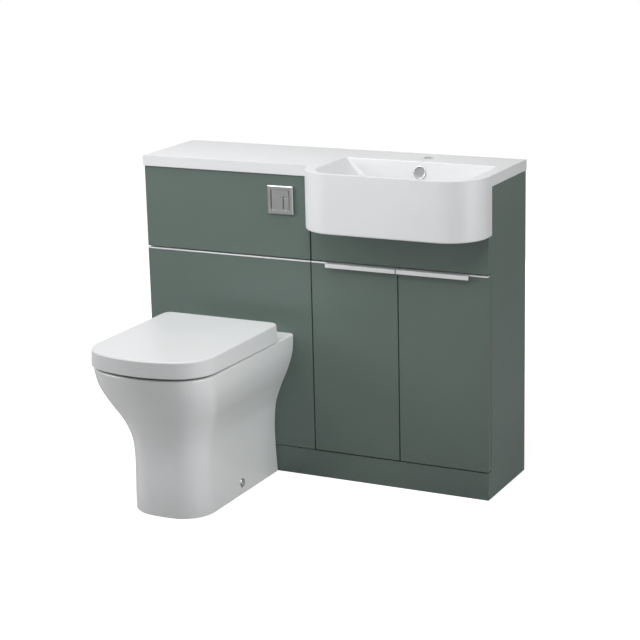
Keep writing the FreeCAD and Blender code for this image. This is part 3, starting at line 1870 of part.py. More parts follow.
def make_fill_valve():
    centre = ("fill_x", "valve_y")
    floor = "cistern_bottom + cistern_wall"
    float_up = "float_z - cistern_bottom - cistern_wall"
    keep(
        turned(
            "z",
            (*centre, floor),
            [
                ("0", "-fill_tail"),
                ("fill_tail_radius", "-fill_tail"),
                ("fill_tail_radius", "0"),
                ("collar_radius", "0"),
                ("collar_radius", "collar"),
                ("fill_column_radius", "collar"),
                ("fill_column_radius", f"{float_up} - collar"),
                ("collar_radius", f"{float_up} - collar"),
                ("collar_radius", float_up),
                ("fill_column_radius", float_up),
                ("fill_column_radius", "fill_column"),
                ("0", "fill_column"),
            ],
        ),
        "fill_valve",
    )
    keep(
        ring(
            "z",
            (*centre, "float_z + rest_gap"),
            "float_radius",
            "fill_column_radius + float_running",
            "float_height",
        ),
        "fill_valve_float",
    )
    keep(
        turned(
            "z",
            (*centre, f"{floor} - fill_tail - stop_valve / 2"),
            [
                ("0", "-stop_valve / 2"),
                ("fill_tail_radius", "-stop_valve / 2"),
                ("fill_tail_radius", "0"),
                ("stop_valve_radius", "0"),
                ("stop_valve_radius", "stop_valve"),
                ("fill_tail_radius", "stop_valve"),
                ("fill_tail_radius", "stop_valve / 2"),
                ("0", "stop_valve / 2"),
            ],
        ),
        "water_stop_valve",
    )


# Flush plate, buttons and their air lines


def make_flush_plate():
    """A square frame with a tray; local X and Y run right and up, Z towards the user."""
    half = value.plate_size / 2
    frame = Part.makeBox(
        value.plate_size, value.plate_size, value.plate_stand, Vector(-half, -half, 0)
    )
    front_edges = [
        edge for edge in frame.Edges if edge.BoundBox.ZMin > value.plate_stand - value.plate_tray
    ]
    frame = frame.makeChamfer(value.plate_chamfer, front_edges)
    inner = value.plate_size - 2 * value.plate_frame
    well = Part.makeBox(
        inner, inner, value.plate_stand, Vector(-inner / 2, -inner / 2, value.plate_tray)
    )
    holes = [
        Part.makeCylinder(
            value.button_stem_radius + value.stem_clearance,
            value.plate_stand,
            Vector(x, y, -value.overrun),
        )
        for x, y in stem_places()
    ]
    shape = frame.cut([well, *holes])
    keep(shaped(shape, ("plate_x", "front_y", "plate_z"), "front"), "flush_plate")


def button_bounds():
    """Half the square of the two buttons, and the low left corner of the half flush one."""
    half = value.plate_size / 2 - value.plate_frame - value.button_gap
    return half, half - value.half_button_width


def stem_places():
    """Where each button's stem goes through the tray: full flush, then half flush."""
    half, small_x = button_bounds()
    full_stem = (-half / 2, 0)
    half_stem = ((half + small_x) / 2, value.half_button_height / 2 - half)
    return full_stem, half_stem


def make_buttons():
    half, small_x = button_bounds()
    back = value.plate_stand - value.button_recess - value.button_face
    small_top = value.half_button_height - half
    gap = value.button_gap
    whole = Part.makeBox(2 * half, 2 * half, value.button_face, Vector(-half, -half, back))
    notch = Part.makeBox(
        2 * half,
        small_top + gap + half + value.overrun,
        value.plate_stand,
        Vector(small_x - gap, -half - value.overrun, 0),
    )
    small = Part.makeBox(
        value.half_button_width,
        value.half_button_height,
        value.button_face,
        Vector(small_x, -half, back),
    )
    faces = {"full_flush_button": whole.cut(notch), "half_flush_button": small}
    for (label, face), (x, y) in zip(faces.items(), stem_places()):
        stem = Part.makeCylinder(
            value.button_stem_radius,
            value.button_stem + value.button_face / 2,
            Vector(x, y, back - value.button_stem),
        )
        shape = face.fuse(stem)
        keep(shaped(shape, ("plate_x", "front_y", "plate_z"), "front"), label)


def make_button_housing():
    """The cup behind the plate that holds the two air bellows."""
    shell = turned(
        "y",
        ("plate_x", "front_y", "plate_z"),
        [
            ("housing_radius - housing_wall", "0"),
            ("housing_radius", "0"),
            ("housing_radius", "housing_depth"),
            ("0", "housing_depth"),
            ("0", "housing_depth - housing_wall"),
            ("housing_radius - housing_wall", "housing_depth - housing_wall"),
        ],
    )
    flange = ring(
        "y",
        ("plate_x", "front_back_y", "plate_z"),
        "housing_radius + 2 * housing_wall",
        "housing_radius",
        "housing_wall",
    )
    keep(fuse(shell, flange), "button_housing")


def make_air_tubes():
    start_y = value.housing_depth
    across = value.plate_x - value.pan_x
    top = value.cistern_bottom + value.cistern_height + value.cistern_lid
    valve_y = value.valve_y - value.front_y
    tubes = []
    for side in (-1, 1):
        shift = side * value.air_tube_spread / 2
        high = top + value.air_tube_rise + shift
        points = [
            Vector(across + shift, start_y, value.plate_z),
            Vector(across + shift, start_y + value.air_tube_back + shift, value.plate_z),
            Vector(across + shift, start_y + value.air_tube_back + shift, high),
            Vector(shift, valve_y, high),
            Vector(shift, valve_y, top),
        ]
        tubes.append(tube(points, value.air_tube_radius, 0, value.air_tube_bend))
    keep(shaped(Part.makeCompound(tubes), ("pan_x", "front_y", "0")), "air_tubes")


make_boards()
make_rails()
make_shelf()
make_wall_brackets()
make_wc_fronts()
make_panel_trim()
make_fascia()
make_door("left")
make_door("right")
make_hinge_arms()
make_basin_top()
make_overflow()
make_waste()
make_trap()
make_nuts()
make_pan()
make_lid()
make_seat()
make_seat_hardware()
make_pan_fixings()
make_pipes()
make_cistern()
make_flush_valve()
make_fill_valve()
make_flush_plate()
make_buttons()
make_button_housing()
make_air_tubes()

doc.recompute()

failed = [item.Label for item in doc.Objects if {"Invalid", "Error"} & set(item.State)]
for item in sub_parts:
    if item.Shape.isNull() or not item.Shape.isValid() or not item.Shape.Solids:
        failed.append(item.Label)
if failed:
    raise RuntimeError("failed objects: " + ", ".join(failed))

os.makedirs("parts", exist_ok=True)
for item in sub_parts:
    item.Shape.exportStep(f"parts/{item.Label}.step")
    litres = item.Shape.Volume / 1e6
    print(f"{item.Label:26s} {len(item.Shape.Solids):2d} solids {litres:8.4f} litres")
print(len(sub_parts), "sub-parts")
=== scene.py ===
import json
import math

import bpy
from mathutils import Matrix, Vector


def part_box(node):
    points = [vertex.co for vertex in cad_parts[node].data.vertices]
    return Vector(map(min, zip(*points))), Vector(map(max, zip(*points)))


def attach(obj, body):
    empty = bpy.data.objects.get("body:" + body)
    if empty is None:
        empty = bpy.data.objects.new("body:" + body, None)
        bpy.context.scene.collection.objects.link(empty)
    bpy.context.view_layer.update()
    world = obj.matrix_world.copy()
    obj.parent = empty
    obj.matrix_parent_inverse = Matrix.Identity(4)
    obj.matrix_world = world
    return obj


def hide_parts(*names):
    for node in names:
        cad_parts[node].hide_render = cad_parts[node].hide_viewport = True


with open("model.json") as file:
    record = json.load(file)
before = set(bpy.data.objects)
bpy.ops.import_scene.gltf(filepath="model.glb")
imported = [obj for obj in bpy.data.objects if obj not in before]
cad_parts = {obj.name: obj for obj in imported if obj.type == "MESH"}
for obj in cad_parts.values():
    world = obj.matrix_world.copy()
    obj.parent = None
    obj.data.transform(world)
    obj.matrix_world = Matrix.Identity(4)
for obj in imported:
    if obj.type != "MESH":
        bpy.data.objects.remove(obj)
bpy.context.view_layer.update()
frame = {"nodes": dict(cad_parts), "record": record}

# A furniture run with a back-to-wall WC on the left and a two-door vanity unit on the right,
# under one cast basin top. Metres; X to the right, Y to the wall, Z up.

# Main places, read from the frame
FRONT_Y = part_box("door_left")[0].y
TOP_LOW, TOP_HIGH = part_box("basin_top")
TOP_Z = TOP_HIGH.z
PAN_X = sum(corner.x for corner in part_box("wc_pan")) / 2

# Worktop and apron
SLAB_THICKNESS = 0.028
SLAB_OVERHANG = 0.006
APRON_WIDTH = 0.499
APRON_HEIGHT = 0.155
APRON_REACH = 0.107
APRON_TAIL = 0.020
APRON_CORNER = 0.103
SLAB_UNDER = TOP_Z - SLAB_THICKNESS
SLAB_FRONT = FRONT_Y - SLAB_OVERHANG
APRON_LOW = TOP_Z - APRON_HEIGHT
APRON_FRONT = FRONT_Y - APRON_REACH
APRON_BACK = FRONT_Y + APRON_TAIL
APRON_LEFT = TOP_HIGH.x - APRON_WIDTH

# Bowl; its outlines give half its width, its front and back, and its front and back corners
BOWL_X = TOP_HIGH.x - APRON_WIDTH / 2
BOWL_DEPTH = 0.115
BOWL_WALL = 0.013
BOWL_ROLL = 0.0025
BOWL_BACK = 0.147
BACK_LEAN = 0.015
BOWL_MOUTH = (0.2138, 0.088, BOWL_BACK, 0.064, 0.006)
BOWL_FLOOR = (0.0981, 0.050, BOWL_BACK - BACK_LEAN, 0.046, 0.024)
WASTE_Y = FRONT_Y + 0.062
TAP_Y = FRONT_Y + 0.209
OVERFLOW_Y = FRONT_Y + 0.129
HOSE_Y = FRONT_Y + 0.172
OVERFLOW_DROP = 0.029
BOSS_DROP = 0.030
BOSS_HALF = 0.018

# Pan: the heights are above the floor, the reaches in front of the door fronts
PAN_TOP = 0.395
PAN_WALL = 0.015
PAN_ROLL = 0.007
FOOT_ROUND = 0.0015
LEDGE_Z = 0.371
SHELL_TOP = 0.374
SHELL_WALL = 0.011
MOUTH_REACH = 0.310
MOUTH_ROLL = 0.009
SUMP_REACH = 0.250
SUMP_Z = 0.150
TRAP_RADIUS = 0.034
WEIR_REACH = 0.135
WEIR_Z = 0.235
BEND_REACH = 0.085
OUTLET_Z = 0.1849
OUTLET_END = 0.020
INLET_REACH = 0.178
INLET_Z = 0.325
INLET_RADIUS = 0.028
SPIGOT_LENGTH = 0.152
CAP_SPREAD = 0.1073
CAP_REACH = 0.198
CAP_Z = 0.030

# Lid, seat and their hinge
HINGE_REACH = 0.094
HINGE_SPREAD = 0.0775
HINGE_Y = FRONT_Y - HINGE_REACH
HINGE_Z = PAN_TOP + 0.022
EAR_OFFSET = 0.0195
LID_LOW = PAN_TOP + 0.002
LID_TOP = PAN_TOP + 0.0515
LID_REACH = 0.535
LID_BACK = 0.081
SEAT_LOW = PAN_TOP + 0.004
SEAT_TOP = PAN_TOP + 0.036
SEAT_BACK = 0.112

# How far a cutting tool passes a surface
OVERRUN = 0.004

QUARTER_TURN = math.pi / 2
TO_RIGHT = Matrix.Rotation(QUARTER_TURN, 4, "Y")
TO_LEFT = Matrix.Rotation(-QUARTER_TURN, 4, "Y")
TO_WALL = Matrix.Rotation(-QUARTER_TURN, 4, "X")


# Selecting, joining and cutting

def nothing_selected():
    if bpy.context.object and bpy.context.object.mode != "OBJECT":
        bpy.ops.object.mode_set(mode="OBJECT")
    bpy.ops.object.select_all(action="DESELECT")


def take(piece):
    nothing_selected()
    piece.select_set(True)
    bpy.context.view_layer.objects.active = piece


def edit_all(piece):
    take(piece)
    bpy.ops.object.mode_set(mode="EDIT")
    bpy.ops.mesh.select_all(action="SELECT")


def edit_chosen(piece, kind, wanted):
    """Go into edit mode with only the edges or faces for which wanted is true."""
    take(piece)
    bpy.ops.object.mode_set(mode="EDIT")
    bpy.ops.mesh.select_mode(type=kind)
    bpy.ops.mesh.select_all(action="DESELECT")
    bpy.ops.object.mode_set(mode="OBJECT")
    parts = piece.data.edges if kind == "EDGE" else piece.data.polygons
    for part in parts:
        part.select = bool(wanted(part))
    bpy.ops.object.mode_set(mode="EDIT")


def leave_edit():
    bpy.ops.mesh.select_mode(type="VERT")
    bpy.ops.object.mode_set(mode="OBJECT")


def faces_outward(piece):
    edit_all(piece)
    bpy.ops.mesh.remove_doubles(threshold=0.00001)
    bpy.ops.mesh.normals_make_consistent(inside=False)
    leave_edit()


def apply_modifier(piece, kind, **settings):
    take(piece)
    modifier = piece.modifiers.new(kind.title(), kind)
    for name, setting in settings.items():
        setattr(modifier, name, setting)
    bpy.ops.object.modifier_apply(modifier=modifier.name)


def join_in(piece, *others):
    for other in others:
        apply_modifier(piece, "BOOLEAN", operation="UNION", solver="EXACT", object=other)
        bpy.data.objects.remove(other)


def carve(piece, *tools):
    for tool in tools:
        apply_modifier(piece, "BOOLEAN", operation="DIFFERENCE", solver="EXACT", object=tool)
        bpy.data.objects.remove(tool)


def round_edges(piece, width, segments, wanted):
    edit_chosen(piece, "EDGE", wanted)
    bpy.ops.mesh.bevel(offset=width, segments=segments, affect="EDGES", clamp_overlap=True)
    leave_edit()


# Outlines in plan and stacks of rings

def line_run(start, end, count):
    return [start.lerp(end, step / count) for step in range(count)]


def arc_run(centre, radius, first, last, count):
    points = []
    for step in range(count):
        turn = first + (last - first) * step / count
        points.append(centre + radius * Vector((math.cos(turn), math.sin(turn))))
    return points


def bowed_outline(half, reach, front_radius, corner, back, back_corner):
    """Straight sides, a bowed front with round corners, and a straight back."""
    arc_y = front_radius - reach
    corner_x = half - corner
    corner_y = arc_y - math.sqrt((front_radius - corner) ** 2 - corner_x**2)
    meet = math.atan2(corner_y - arc_y, corner_x)
    side_y = back - back_corner
    back_x = half - back_corner
    return [
        *arc_run(Vector((corner_x, corner_y)), corner, 0, meet, 14),
        *arc_run(Vector((0, arc_y)), front_radius, meet, -math.pi - meet, 20),
        *arc_run(Vector((-corner_x, corner_y)), corner, -math.pi - meet, -math.pi, 14),
        *line_run(Vector((-half, corner_y)), Vector((-half, side_y)), 14),
        *arc_run(Vector((-back_x, side_y)), back_corner, math.pi, QUARTER_TURN, 6),
        *line_run(Vector((-back_x, back)), Vector((back_x, back)), 12),
        *arc_run(Vector((back_x, side_y)), back_corner, QUARTER_TURN, 0, 6),
        *line_run(Vector((half, side_y)), Vector((half, corner_y)), 14),
    ]


def rounded_outline(half, front, back, front_corner, back_corner):
    """A rectangle with large round front corners and small back ones."""
    low, high = -front + front_corner, back - back_corner
    front_x, back_x = half - front_corner, half - back_corner
    return [
        *arc_run(Vector((front_x, low)), front_corner, 0, -QUARTER_TURN, 14),
        *line_run(Vector((front_x, -front)), Vector((-front_x, -front)), 10),
        *arc_run(Vector((-front_x, low)), front_corner, -QUARTER_TURN, -math.pi, 14),
        *line_run(Vector((-half, low)), Vector((-half, high)), 6),
        *arc_run(Vector((-back_x, high)), back_corner, math.pi, QUARTER_TURN, 8),
        *line_run(Vector((-back_x, back)), Vector((back_x, back)), 10),
        *arc_run(Vector((back_x, high)), back_corner, QUARTER_TURN, 0, 8),
        *line_run(Vector((half, high)), Vector((half, low)), 6),
    ]


def oval_outline(width, length, count=72):
    return [
        Vector((width / 2 * math.cos(turn), length / 2 * math.sin(turn)))
        for turn in (2 * math.pi * step / count for step in range(count))
    ]


def quarter_arc(steps):
    """Cosine and sine at even steps over a quarter turn."""
    turns = [QUARTER_TURN * step / steps for step in range(steps + 1)]
    return [(math.cos(turn), math.sin(turn)) for turn in turns]


def lifted(outline, x, y, z):
    """The outline as a ring in space; z is a height, or a height for each local y."""
    height = z if callable(z) else lambda _: z
    return [Vector((x + point.x, y + point.y, height(point.y))) for point in outline]


def ring_stack(name, rings):
    """A round start shape, extruded once for each ring, then each ring brought to its outline."""
    nothing_selected()
    count = len(rings[0])
    bpy.ops.mesh.primitive_circle_add(
        vertices=count, radius=1, fill_type="NGON", location=(0, 0, 0)
    )
    piece = bpy.context.object
    piece.name = name
    bpy.ops.object.mode_set(mode="EDIT")
    bpy.ops.mesh.select_all(action="SELECT")
    for _ in rings[1:]:
        bpy.ops.mesh.extrude_region_move(TRANSFORM_OT_translate={"value": (0, 0, 1)})
    bpy.ops.object.mode_set(mode="OBJECT")
    step = 2 * math.pi / count
    for vertex in piece.data.vertices:
        turn = math.atan2(vertex.co.y, vertex.co.x) - QUARTER_TURN
        vertex.co = rings[round(vertex.co.z)][round(turn / step) % count]
    edit_all(piece)
    bpy.ops.mesh.normals_make_consistent(inside=False)
    leave_edit()
    return piece


def closed_ring_stack(name, rings):
    """A stack whose last ring is its first one: a body with a hole through it."""
    piece = ring_stack(name, [*rings, rings[0]])
    count = len(rings[0])
    edit_chosen(piece, "FACE", lambda face: len(face.vertices) == count)
    bpy.ops.mesh.delete(type="ONLY_FACE")
    leave_edit()
    faces_outward(piece)
    return piece


def settle(piece, place, turn=None):
    """Turn and move the piece, and put that into its mesh."""
    piece.matrix_world = Matrix.Translation(place) @ (turn or Matrix.Identity(4))
    take(piece)
    bpy.ops.object.transform_apply(location=True, rotation=True, scale=True)
    return piece


def turned(name, profile, place, turn=None, count=64):
    """A solid of revolution from (radius, height) pairs, lowest first."""
    rings = [lifted(oval_outline(2 * radius, 2 * radius, count), 0, 0, z) for radius, z in profile]
    return settle(ring_stack(name, rings), place, turn)


def block(name, low, high):
    """A rectangular body between two corners."""
    nothing_selected()
    middle = (Vector(low) + Vector(high)) / 2
    bpy.ops.mesh.primitive_cube_add(size=1, location=middle)
    piece = bpy.context.object
    piece.name = name
    piece.scale = Vector(high) - Vector(low)
    bpy.ops.object.transform_apply(location=True, rotation=True, scale=True)
    return piece


def rod(name, start, end, radius, ball_start=False, ball_end=False):
    """A round bar between two points, with a ball on its ends where that is asked for."""
    along = end - start
    length = along.length
    arc = quarter_arc(8)[1:-1]
    tip = radius * 0.02
    profile = [(radius, 0), (radius, length)]
    if ball_start:
        ball = [(radius * sine, -radius * cosine) for cosine, sine in arc]
        profile = [(tip, -radius), *ball, *profile]
    if ball_end:
        ball = [(radius * cosine, length + radius * sine) for cosine, sine in arc]
        profile = [*profile, *ball, (tip, length + radius)]
    turn = along.to_track_quat("Z", "Y").to_matrix().to_4x4()
    return turned(name, profile, start, turn, count=48)


def smooth_between(values, share):
    """A smooth curve through evenly spaced values."""
    place = min(max(share, 0), 1) * (len(values) - 1)
    index = min(int(place), len(values) - 2)
    part = place - index
    first, second = values[index], values[index + 1]
    before = values[index - 1] if index else 2 * first - second
    after = values[index + 2] if index + 2 < len(values) else 2 * second - first
    return (
        first
        + part * (second - before) / 2
        + part**2 * (2 * before - 5 * first + 4 * second - after) / 2
        + part**3 * (3 * (first - second) + after - before) / 2
    )


def softened(name, node, width):
    """A copy of a CAD node with merged faces and small rounds on its sharp edges."""
    mesh = frame["nodes"][node].data.copy()
    piece = bpy.data.objects.new(name, mesh)
    bpy.context.scene.collection.objects.link(piece)
    edit_all(piece)
    bpy.ops.mesh.remove_doubles(threshold=0.00001)
    bpy.ops.mesh.dissolve_limited(angle_limit=math.radians(1))
    bpy.ops.mesh.normals_make_consistent(inside=False)
    leave_edit()
    apply_modifier(
        piece,
        "BEVEL",
        width=width,
        segments=2,
        limit_method="ANGLE",
        angle_limit=math.radians(40),
        use_clamp_overlap=True,
    )
    return piece


# Effects that more than one finish uses

def effect(name, inputs, outputs):
    tree = bpy.data.node_groups.new(name, "ShaderNodeTree")
    for label, kind, start in inputs:
        socket = tree.interface.new_socket(name=label, in_out="INPUT", socket_type=kind)
        if start is not None:
            socket.default_value = start
    for label, kind in outputs:
        tree.interface.new_socket(name=label, in_out="OUTPUT", socket_type=kind)
    return tree, tree.nodes.new("NodeGroupInput"), tree.nodes.new("NodeGroupOutput")


def add_noise(tree, place, detail, roughness):
    noise = tree.nodes.new("ShaderNodeTexNoise")
    noise.inputs["Detail"].default_value = detail
    noise.inputs["Roughness"].default_value = roughness
    tree.links.new(place, noise.inputs["Vector"])
    return noise


def spread_noise(tree, noise, given=None):
    """The middle of a noise's range, spread over 0 to 1 or over the given Low to High."""
    spread = tree.nodes.new("ShaderNodeMapRange")
    spread.inputs["From Min"].default_value = 0.3
    spread.inputs["From Max"].default_value = 0.7
    tree.links.new(noise.outputs["Fac"], spread.inputs["Value"])
    if given:
        tree.links.new(given.outputs["Low"], spread.inputs["To Min"])
        tree.links.new(given.outputs["High"], spread.inputs["To Max"])
    return spread.outputs["Result"]


def make_tone_drift():
    """Colour that drifts slowly between two near tones."""
    tree, given, result = effect(
        "tone drift",
        [
            ("Place", "NodeSocketVector", None),
            ("Main", "NodeSocketColor", (1, 1, 1, 1)),
            ("Other", "NodeSocketColor", (1, 1, 1, 1)),
            ("Size", "NodeSocketFloat", 4),
        ],
        [("Colour", "NodeSocketColor")],
    )
    noise = add_noise(tree, given.outputs["Place"], 3, 0.55)
    tree.links.new(given.outputs["Size"], noise.inputs["Scale"])
    factor = spread_noise(tree, noise)
    mix = tree.nodes.new("ShaderNodeMix")
    mix.data_type = "RGBA"
    tree.links.new(factor, mix.inputs["Factor"])
    tree.links.new(given.outputs["Main"], mix.inputs[6])
    tree.links.new(given.outputs["Other"], mix.inputs[7])
    tree.links.new(mix.outputs[2], result.inputs["Colour"])
    return tree


def make_gloss_drift():
    """A roughness that wanders between two values, with finer smears in it."""
    tree, given, result = effect(
        "gloss drift",
        [
            ("Place", "NodeSocketVector", None),
            ("Low", "NodeSocketFloat", 0.2),
            ("High", "NodeSocketFloat", 0.3),
            ("Size", "NodeSocketFloat", 8),
        ],
        [("Value", "NodeSocketFloat")],
    )
    noise = add_noise(tree, given.outputs["Place"], 5, 0.6)
    tree.links.new(given.outputs["Size"], noise.inputs["Scale"])
    tree.links.new(spread_noise(tree, noise, given), result.inputs["Value"])
    return tree


def make_skin():
    """The height of a sprayed, glazed or moulded skin: broad waves with a fine grain on them."""
    tree, given, result = effect(
        "skin",
        [
            ("Place", "NodeSocketVector", None),
            ("Waves", "NodeSocketFloat", 12),
            ("Grain", "NodeSocketFloat", 700),
            ("Grain share", "NodeSocketFloat", 0.3),
        ],
        [("Height", "NodeSocketFloat")],
    )
    waves = add_noise(tree, given.outputs["Place"], 1, 0.4)
    tree.links.new(given.outputs["Waves"], waves.inputs["Scale"])
    grain = add_noise(tree, given.outputs["Place"], 2, 0.5)
    tree.links.new(given.outputs["Grain"], grain.inputs["Scale"])
    mix = tree.nodes.new("ShaderNodeMix")
    tree.links.new(given.outputs["Grain share"], mix.inputs["Factor"])
    tree.links.new(waves.outputs["Fac"], mix.inputs["A"])
    tree.links.new(grain.outputs["Fac"], mix.inputs["B"])
    tree.links.new(mix.outputs["Result"], result.inputs["Height"])
    return tree


def make_brushing():
    """Fine lines that run along one direction of a metal."""
    tree, given, result = effect(
        "brushing",
        [
            ("Place", "NodeSocketVector", None),
            ("Stretch", "NodeSocketVector", (20, 2000, 2000)),
            ("Low", "NodeSocketFloat", 0.2),
            ("High", "NodeSocketFloat", 0.3),
        ],
        [("Height", "NodeSocketFloat"), ("Roughness", "NodeSocketFloat")],
    )
    stretched = tree.nodes.new("ShaderNodeVectorMath")
    stretched.operation = "MULTIPLY"
    tree.links.new(given.outputs["Place"], stretched.inputs[0])
    tree.links.new(given.outputs["Stretch"], stretched.inputs[1])
    noise = add_noise(tree, stretched.outputs["Vector"], 4, 0.7)
    noise.inputs["Scale"].default_value = 1
    roughness = spread_noise(tree, noise, given)
    tree.links.new(noise.outputs["Fac"], result.inputs["Height"])
    tree.links.new(roughness, result.inputs["Roughness"])
    return tree


TONE_DRIFT = make_tone_drift()
GLOSS_DRIFT = make_gloss_drift()
SKIN = make_skin()
BRUSHING = make_brushing()


# Finishes

def tone(red, green, blue):
    """A colour as it is seen on a screen, from 0 to 255, as the shader's linear values."""
    def linear(level):
        level /= 255
        return level / 12.92 if level <= 0.04045 else ((level + 0.055) / 1.055) ** 2.4

    return (linear(red), linear(green), linear(blue), 1)


def use_effect(material, tree, place, **settings):
    node = material.node_tree.nodes.new("ShaderNodeGroup")
    node.node_tree = tree
    material.node_tree.links.new(place, node.inputs["Place"])
    for label, setting in settings.items():
        node.inputs[label.replace("_", " ")].default_value = setting
    return node


def start_material(name, **constants):
    material = bpy.data.materials.new(name)
    material.use_nodes = True
    shader = material.node_tree.nodes["Principled BSDF"]
    for label, constant in constants.items():
        shader.inputs[label.replace("_", " ")].default_value = constant
    place = material.node_tree.nodes.new("ShaderNodeTexCoord").outputs["Object"]
    return material, shader, place


def add_bump(material, shader, height, strength, distance):
    bump = material.node_tree.nodes.new("ShaderNodeBump")
    bump.inputs["Strength"].default_value = strength
    bump.inputs["Distance"].default_value = distance
    material.node_tree.links.new(height, bump.inputs["Height"])
    material.node_tree.links.new(bump.outputs["Normal"], shader.inputs["Normal"])


def skinned(name, main, other, gloss, skin, bump, **constants):
    """A paint, glaze or plastic: drifting tone and gloss over a fine skin.

    gloss is its lowest and highest roughness, skin the scale of waves and grain and the share of
    grain, bump its strength and its distance.
    """
    material, shader, place = start_material(name, **constants)
    links = material.node_tree.links
    colour = use_effect(material, TONE_DRIFT, place, Main=main, Other=other, Size=3.5)
    links.new(colour.outputs["Colour"], shader.inputs["Base Color"])
    drift = use_effect(material, GLOSS_DRIFT, place, Low=gloss[0], High=gloss[1], Size=9)
    links.new(drift.outputs["Value"], shader.inputs["Roughness"])
    waves, grain, share = skin
    height = use_effect(material, SKIN, place, Waves=waves, Grain=grain, Grain_share=share)
    add_bump(material, shader, height.outputs["Height"], *bump)
    return material


def metal(name, main, other, stretch, gloss, strength, metallic=1):
    """A metal with fine lines, and a tone that drifts a little."""
    material, shader, place = start_material(name, Metallic=metallic)
    links = material.node_tree.links
    colour = use_effect(material, TONE_DRIFT, place, Main=main, Other=other, Size=14)
    links.new(colour.outputs["Colour"], shader.inputs["Base Color"])
    lines = use_effect(material, BRUSHING, place, Stretch=stretch, Low=gloss[0], High=gloss[1])
    links.new(lines.outputs["Roughness"], shader.inputs["Roughness"])
    add_bump(material, shader, lines.outputs["Height"], strength, 0.0002)
    return material


FINISHES = {
    "front_lacquer": skinned(
        "sage lacquer", tone(98, 113, 106), tone(95, 110, 103), gloss=(0.36, 0.42),
        skin=(9, 900, 0.35), bump=(0.05, 0.0006), Coat_Weight=0.2, Coat_Roughness=0.28,
    ),
    "carcass_board": skinned(
        "faced board", tone(196, 198, 196), tone(190, 192, 190), gloss=(0.42, 0.55),
        skin=(60, 1400, 0.7), bump=(0.2, 0.0002),
    ),
    "cast_basin": skinned(
        "cast mineral", tone(236, 237, 238), tone(233, 234, 235), gloss=(0.36, 0.44),
        skin=(7, 300, 0.06), bump=(0.06, 0.0015), Coat_Weight=0.2, Coat_Roughness=0.28,
    ),
    "vitreous_china": skinned(
        "glazed china", tone(238, 239, 240), tone(235, 236, 237), gloss=(0.16, 0.22),
        skin=(11, 90, 0.12), bump=(0.10, 0.0015), Coat_Weight=0.4, Coat_Roughness=0.10,
    ),
    "seat_plastic": skinned(
        "hard white seat", tone(229, 230, 231), tone(226, 227, 228), gloss=(0.34, 0.42),
        skin=(9, 500, 0.1), bump=(0.05, 0.0008), Coat_Weight=0.05, Coat_Roughness=0.3,
        Specular_IOR_Level=0.3,
    ),
    "chrome": metal(
        "polished chrome", tone(204, 205, 205), tone(196, 197, 197),
        stretch=(300, 300, 1500), gloss=(0.24, 0.36), strength=0.02,
    ),
    "trim_aluminium": metal(
        "brushed aluminium", tone(246, 246, 247), tone(240, 241, 242),
        stretch=(25, 2600, 2600), gloss=(0.34, 0.46), strength=0.05, metallic=0.55,
    ),
    "steel": metal(
        "plated steel", tone(190, 191, 190), tone(176, 178, 178),
        stretch=(60, 900, 900), gloss=(0.30, 0.46), strength=0.06,
    ),
    "brass": metal(
        "brass", tone(201, 170, 105), tone(184, 150, 86),
        stretch=(400, 400, 900), gloss=(0.28, 0.42), strength=0.05,
    ),
    "rubber": skinned(
        "soft rubber", tone(92, 94, 95), tone(84, 86, 87), gloss=(0.62, 0.75),
        skin=(40, 1200, 0.6), bump=(0.25, 0.0003),
    ),
    "white_plastic": skinned(
        "moulded white plastic", tone(222, 222, 219), tone(216, 216, 213), gloss=(0.34, 0.44),
        skin=(20, 1100, 0.5), bump=(0.12, 0.0003),
    ),
    "grey_plastic": skinned(
        "moulded grey plastic", tone(132, 135, 137), tone(124, 127, 129), gloss=(0.40, 0.52),
        skin=(20, 1100, 0.5), bump=(0.15, 0.0003),
    ),
}

SLOT_OF = {part["node"]: part.get("material_slot") for part in frame["record"]["subparts"]}


def on_body(piece, body, *nodes, slot=None, angle=35):
    """Smooth the piece, give it its slot's finish, and put it on its body in place of the nodes."""
    slot = slot or SLOT_OF[nodes[0]]
    take(piece)
    bpy.ops.object.shade_smooth_by_angle(angle=math.radians(angle))
    apply_modifier(piece, "WEIGHTED_NORMAL", keep_sharp=True, weight=60)
    piece.data.materials.clear()
    piece.data.materials.append(FINISHES[slot])
    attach(piece, body)
    if nodes:
        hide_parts(*nodes)


# Camera at the photograph's angle

def add_camera():
    yaw, pitch, roll = math.radians(26.87), math.radians(14.73), math.radians(-1.38)
    back = Vector((
        math.sin(yaw) * math.cos(pitch), -math.cos(yaw) * math.cos(pitch), math.sin(pitch)
    ))
    level = (-back).cross(Vector((0, 0, 1))).normalized()
    upright = level.cross(-back)
    right = math.cos(roll) * level + math.sin(roll) * upright
    up = -math.sin(roll) * level + math.cos(roll) * upright
    nothing_selected()
    bpy.ops.object.camera_add(location=(2.1596, -4.0821, 1.6828))
    camera = bpy.context.object
    camera.name = "front_camera"
    camera.rotation_mode = "QUATERNION"
    camera.rotation_quaternion = Matrix((right, up, back)).transposed().to_quaternion()
    camera.data.lens = 103.9
    camera.data.sensor_width = 36
    camera.data.clip_end = 60
    bpy.context.scene.camera = camera


# Basin top

def bowl_outline(share, grow):
    """The bowl's outline at a share of its depth; its walls slope in a straight line."""
    return rounded_outline(
        *(mouth + (floor - mouth) * share + grow for mouth, floor in zip(BOWL_MOUTH, BOWL_FLOOR))
    )


def bowl_ring(share, grow, rise=0):
    return lifted(bowl_outline(share, grow), BOWL_X, FRONT_Y, TOP_Z - share * BOWL_DEPTH + rise)


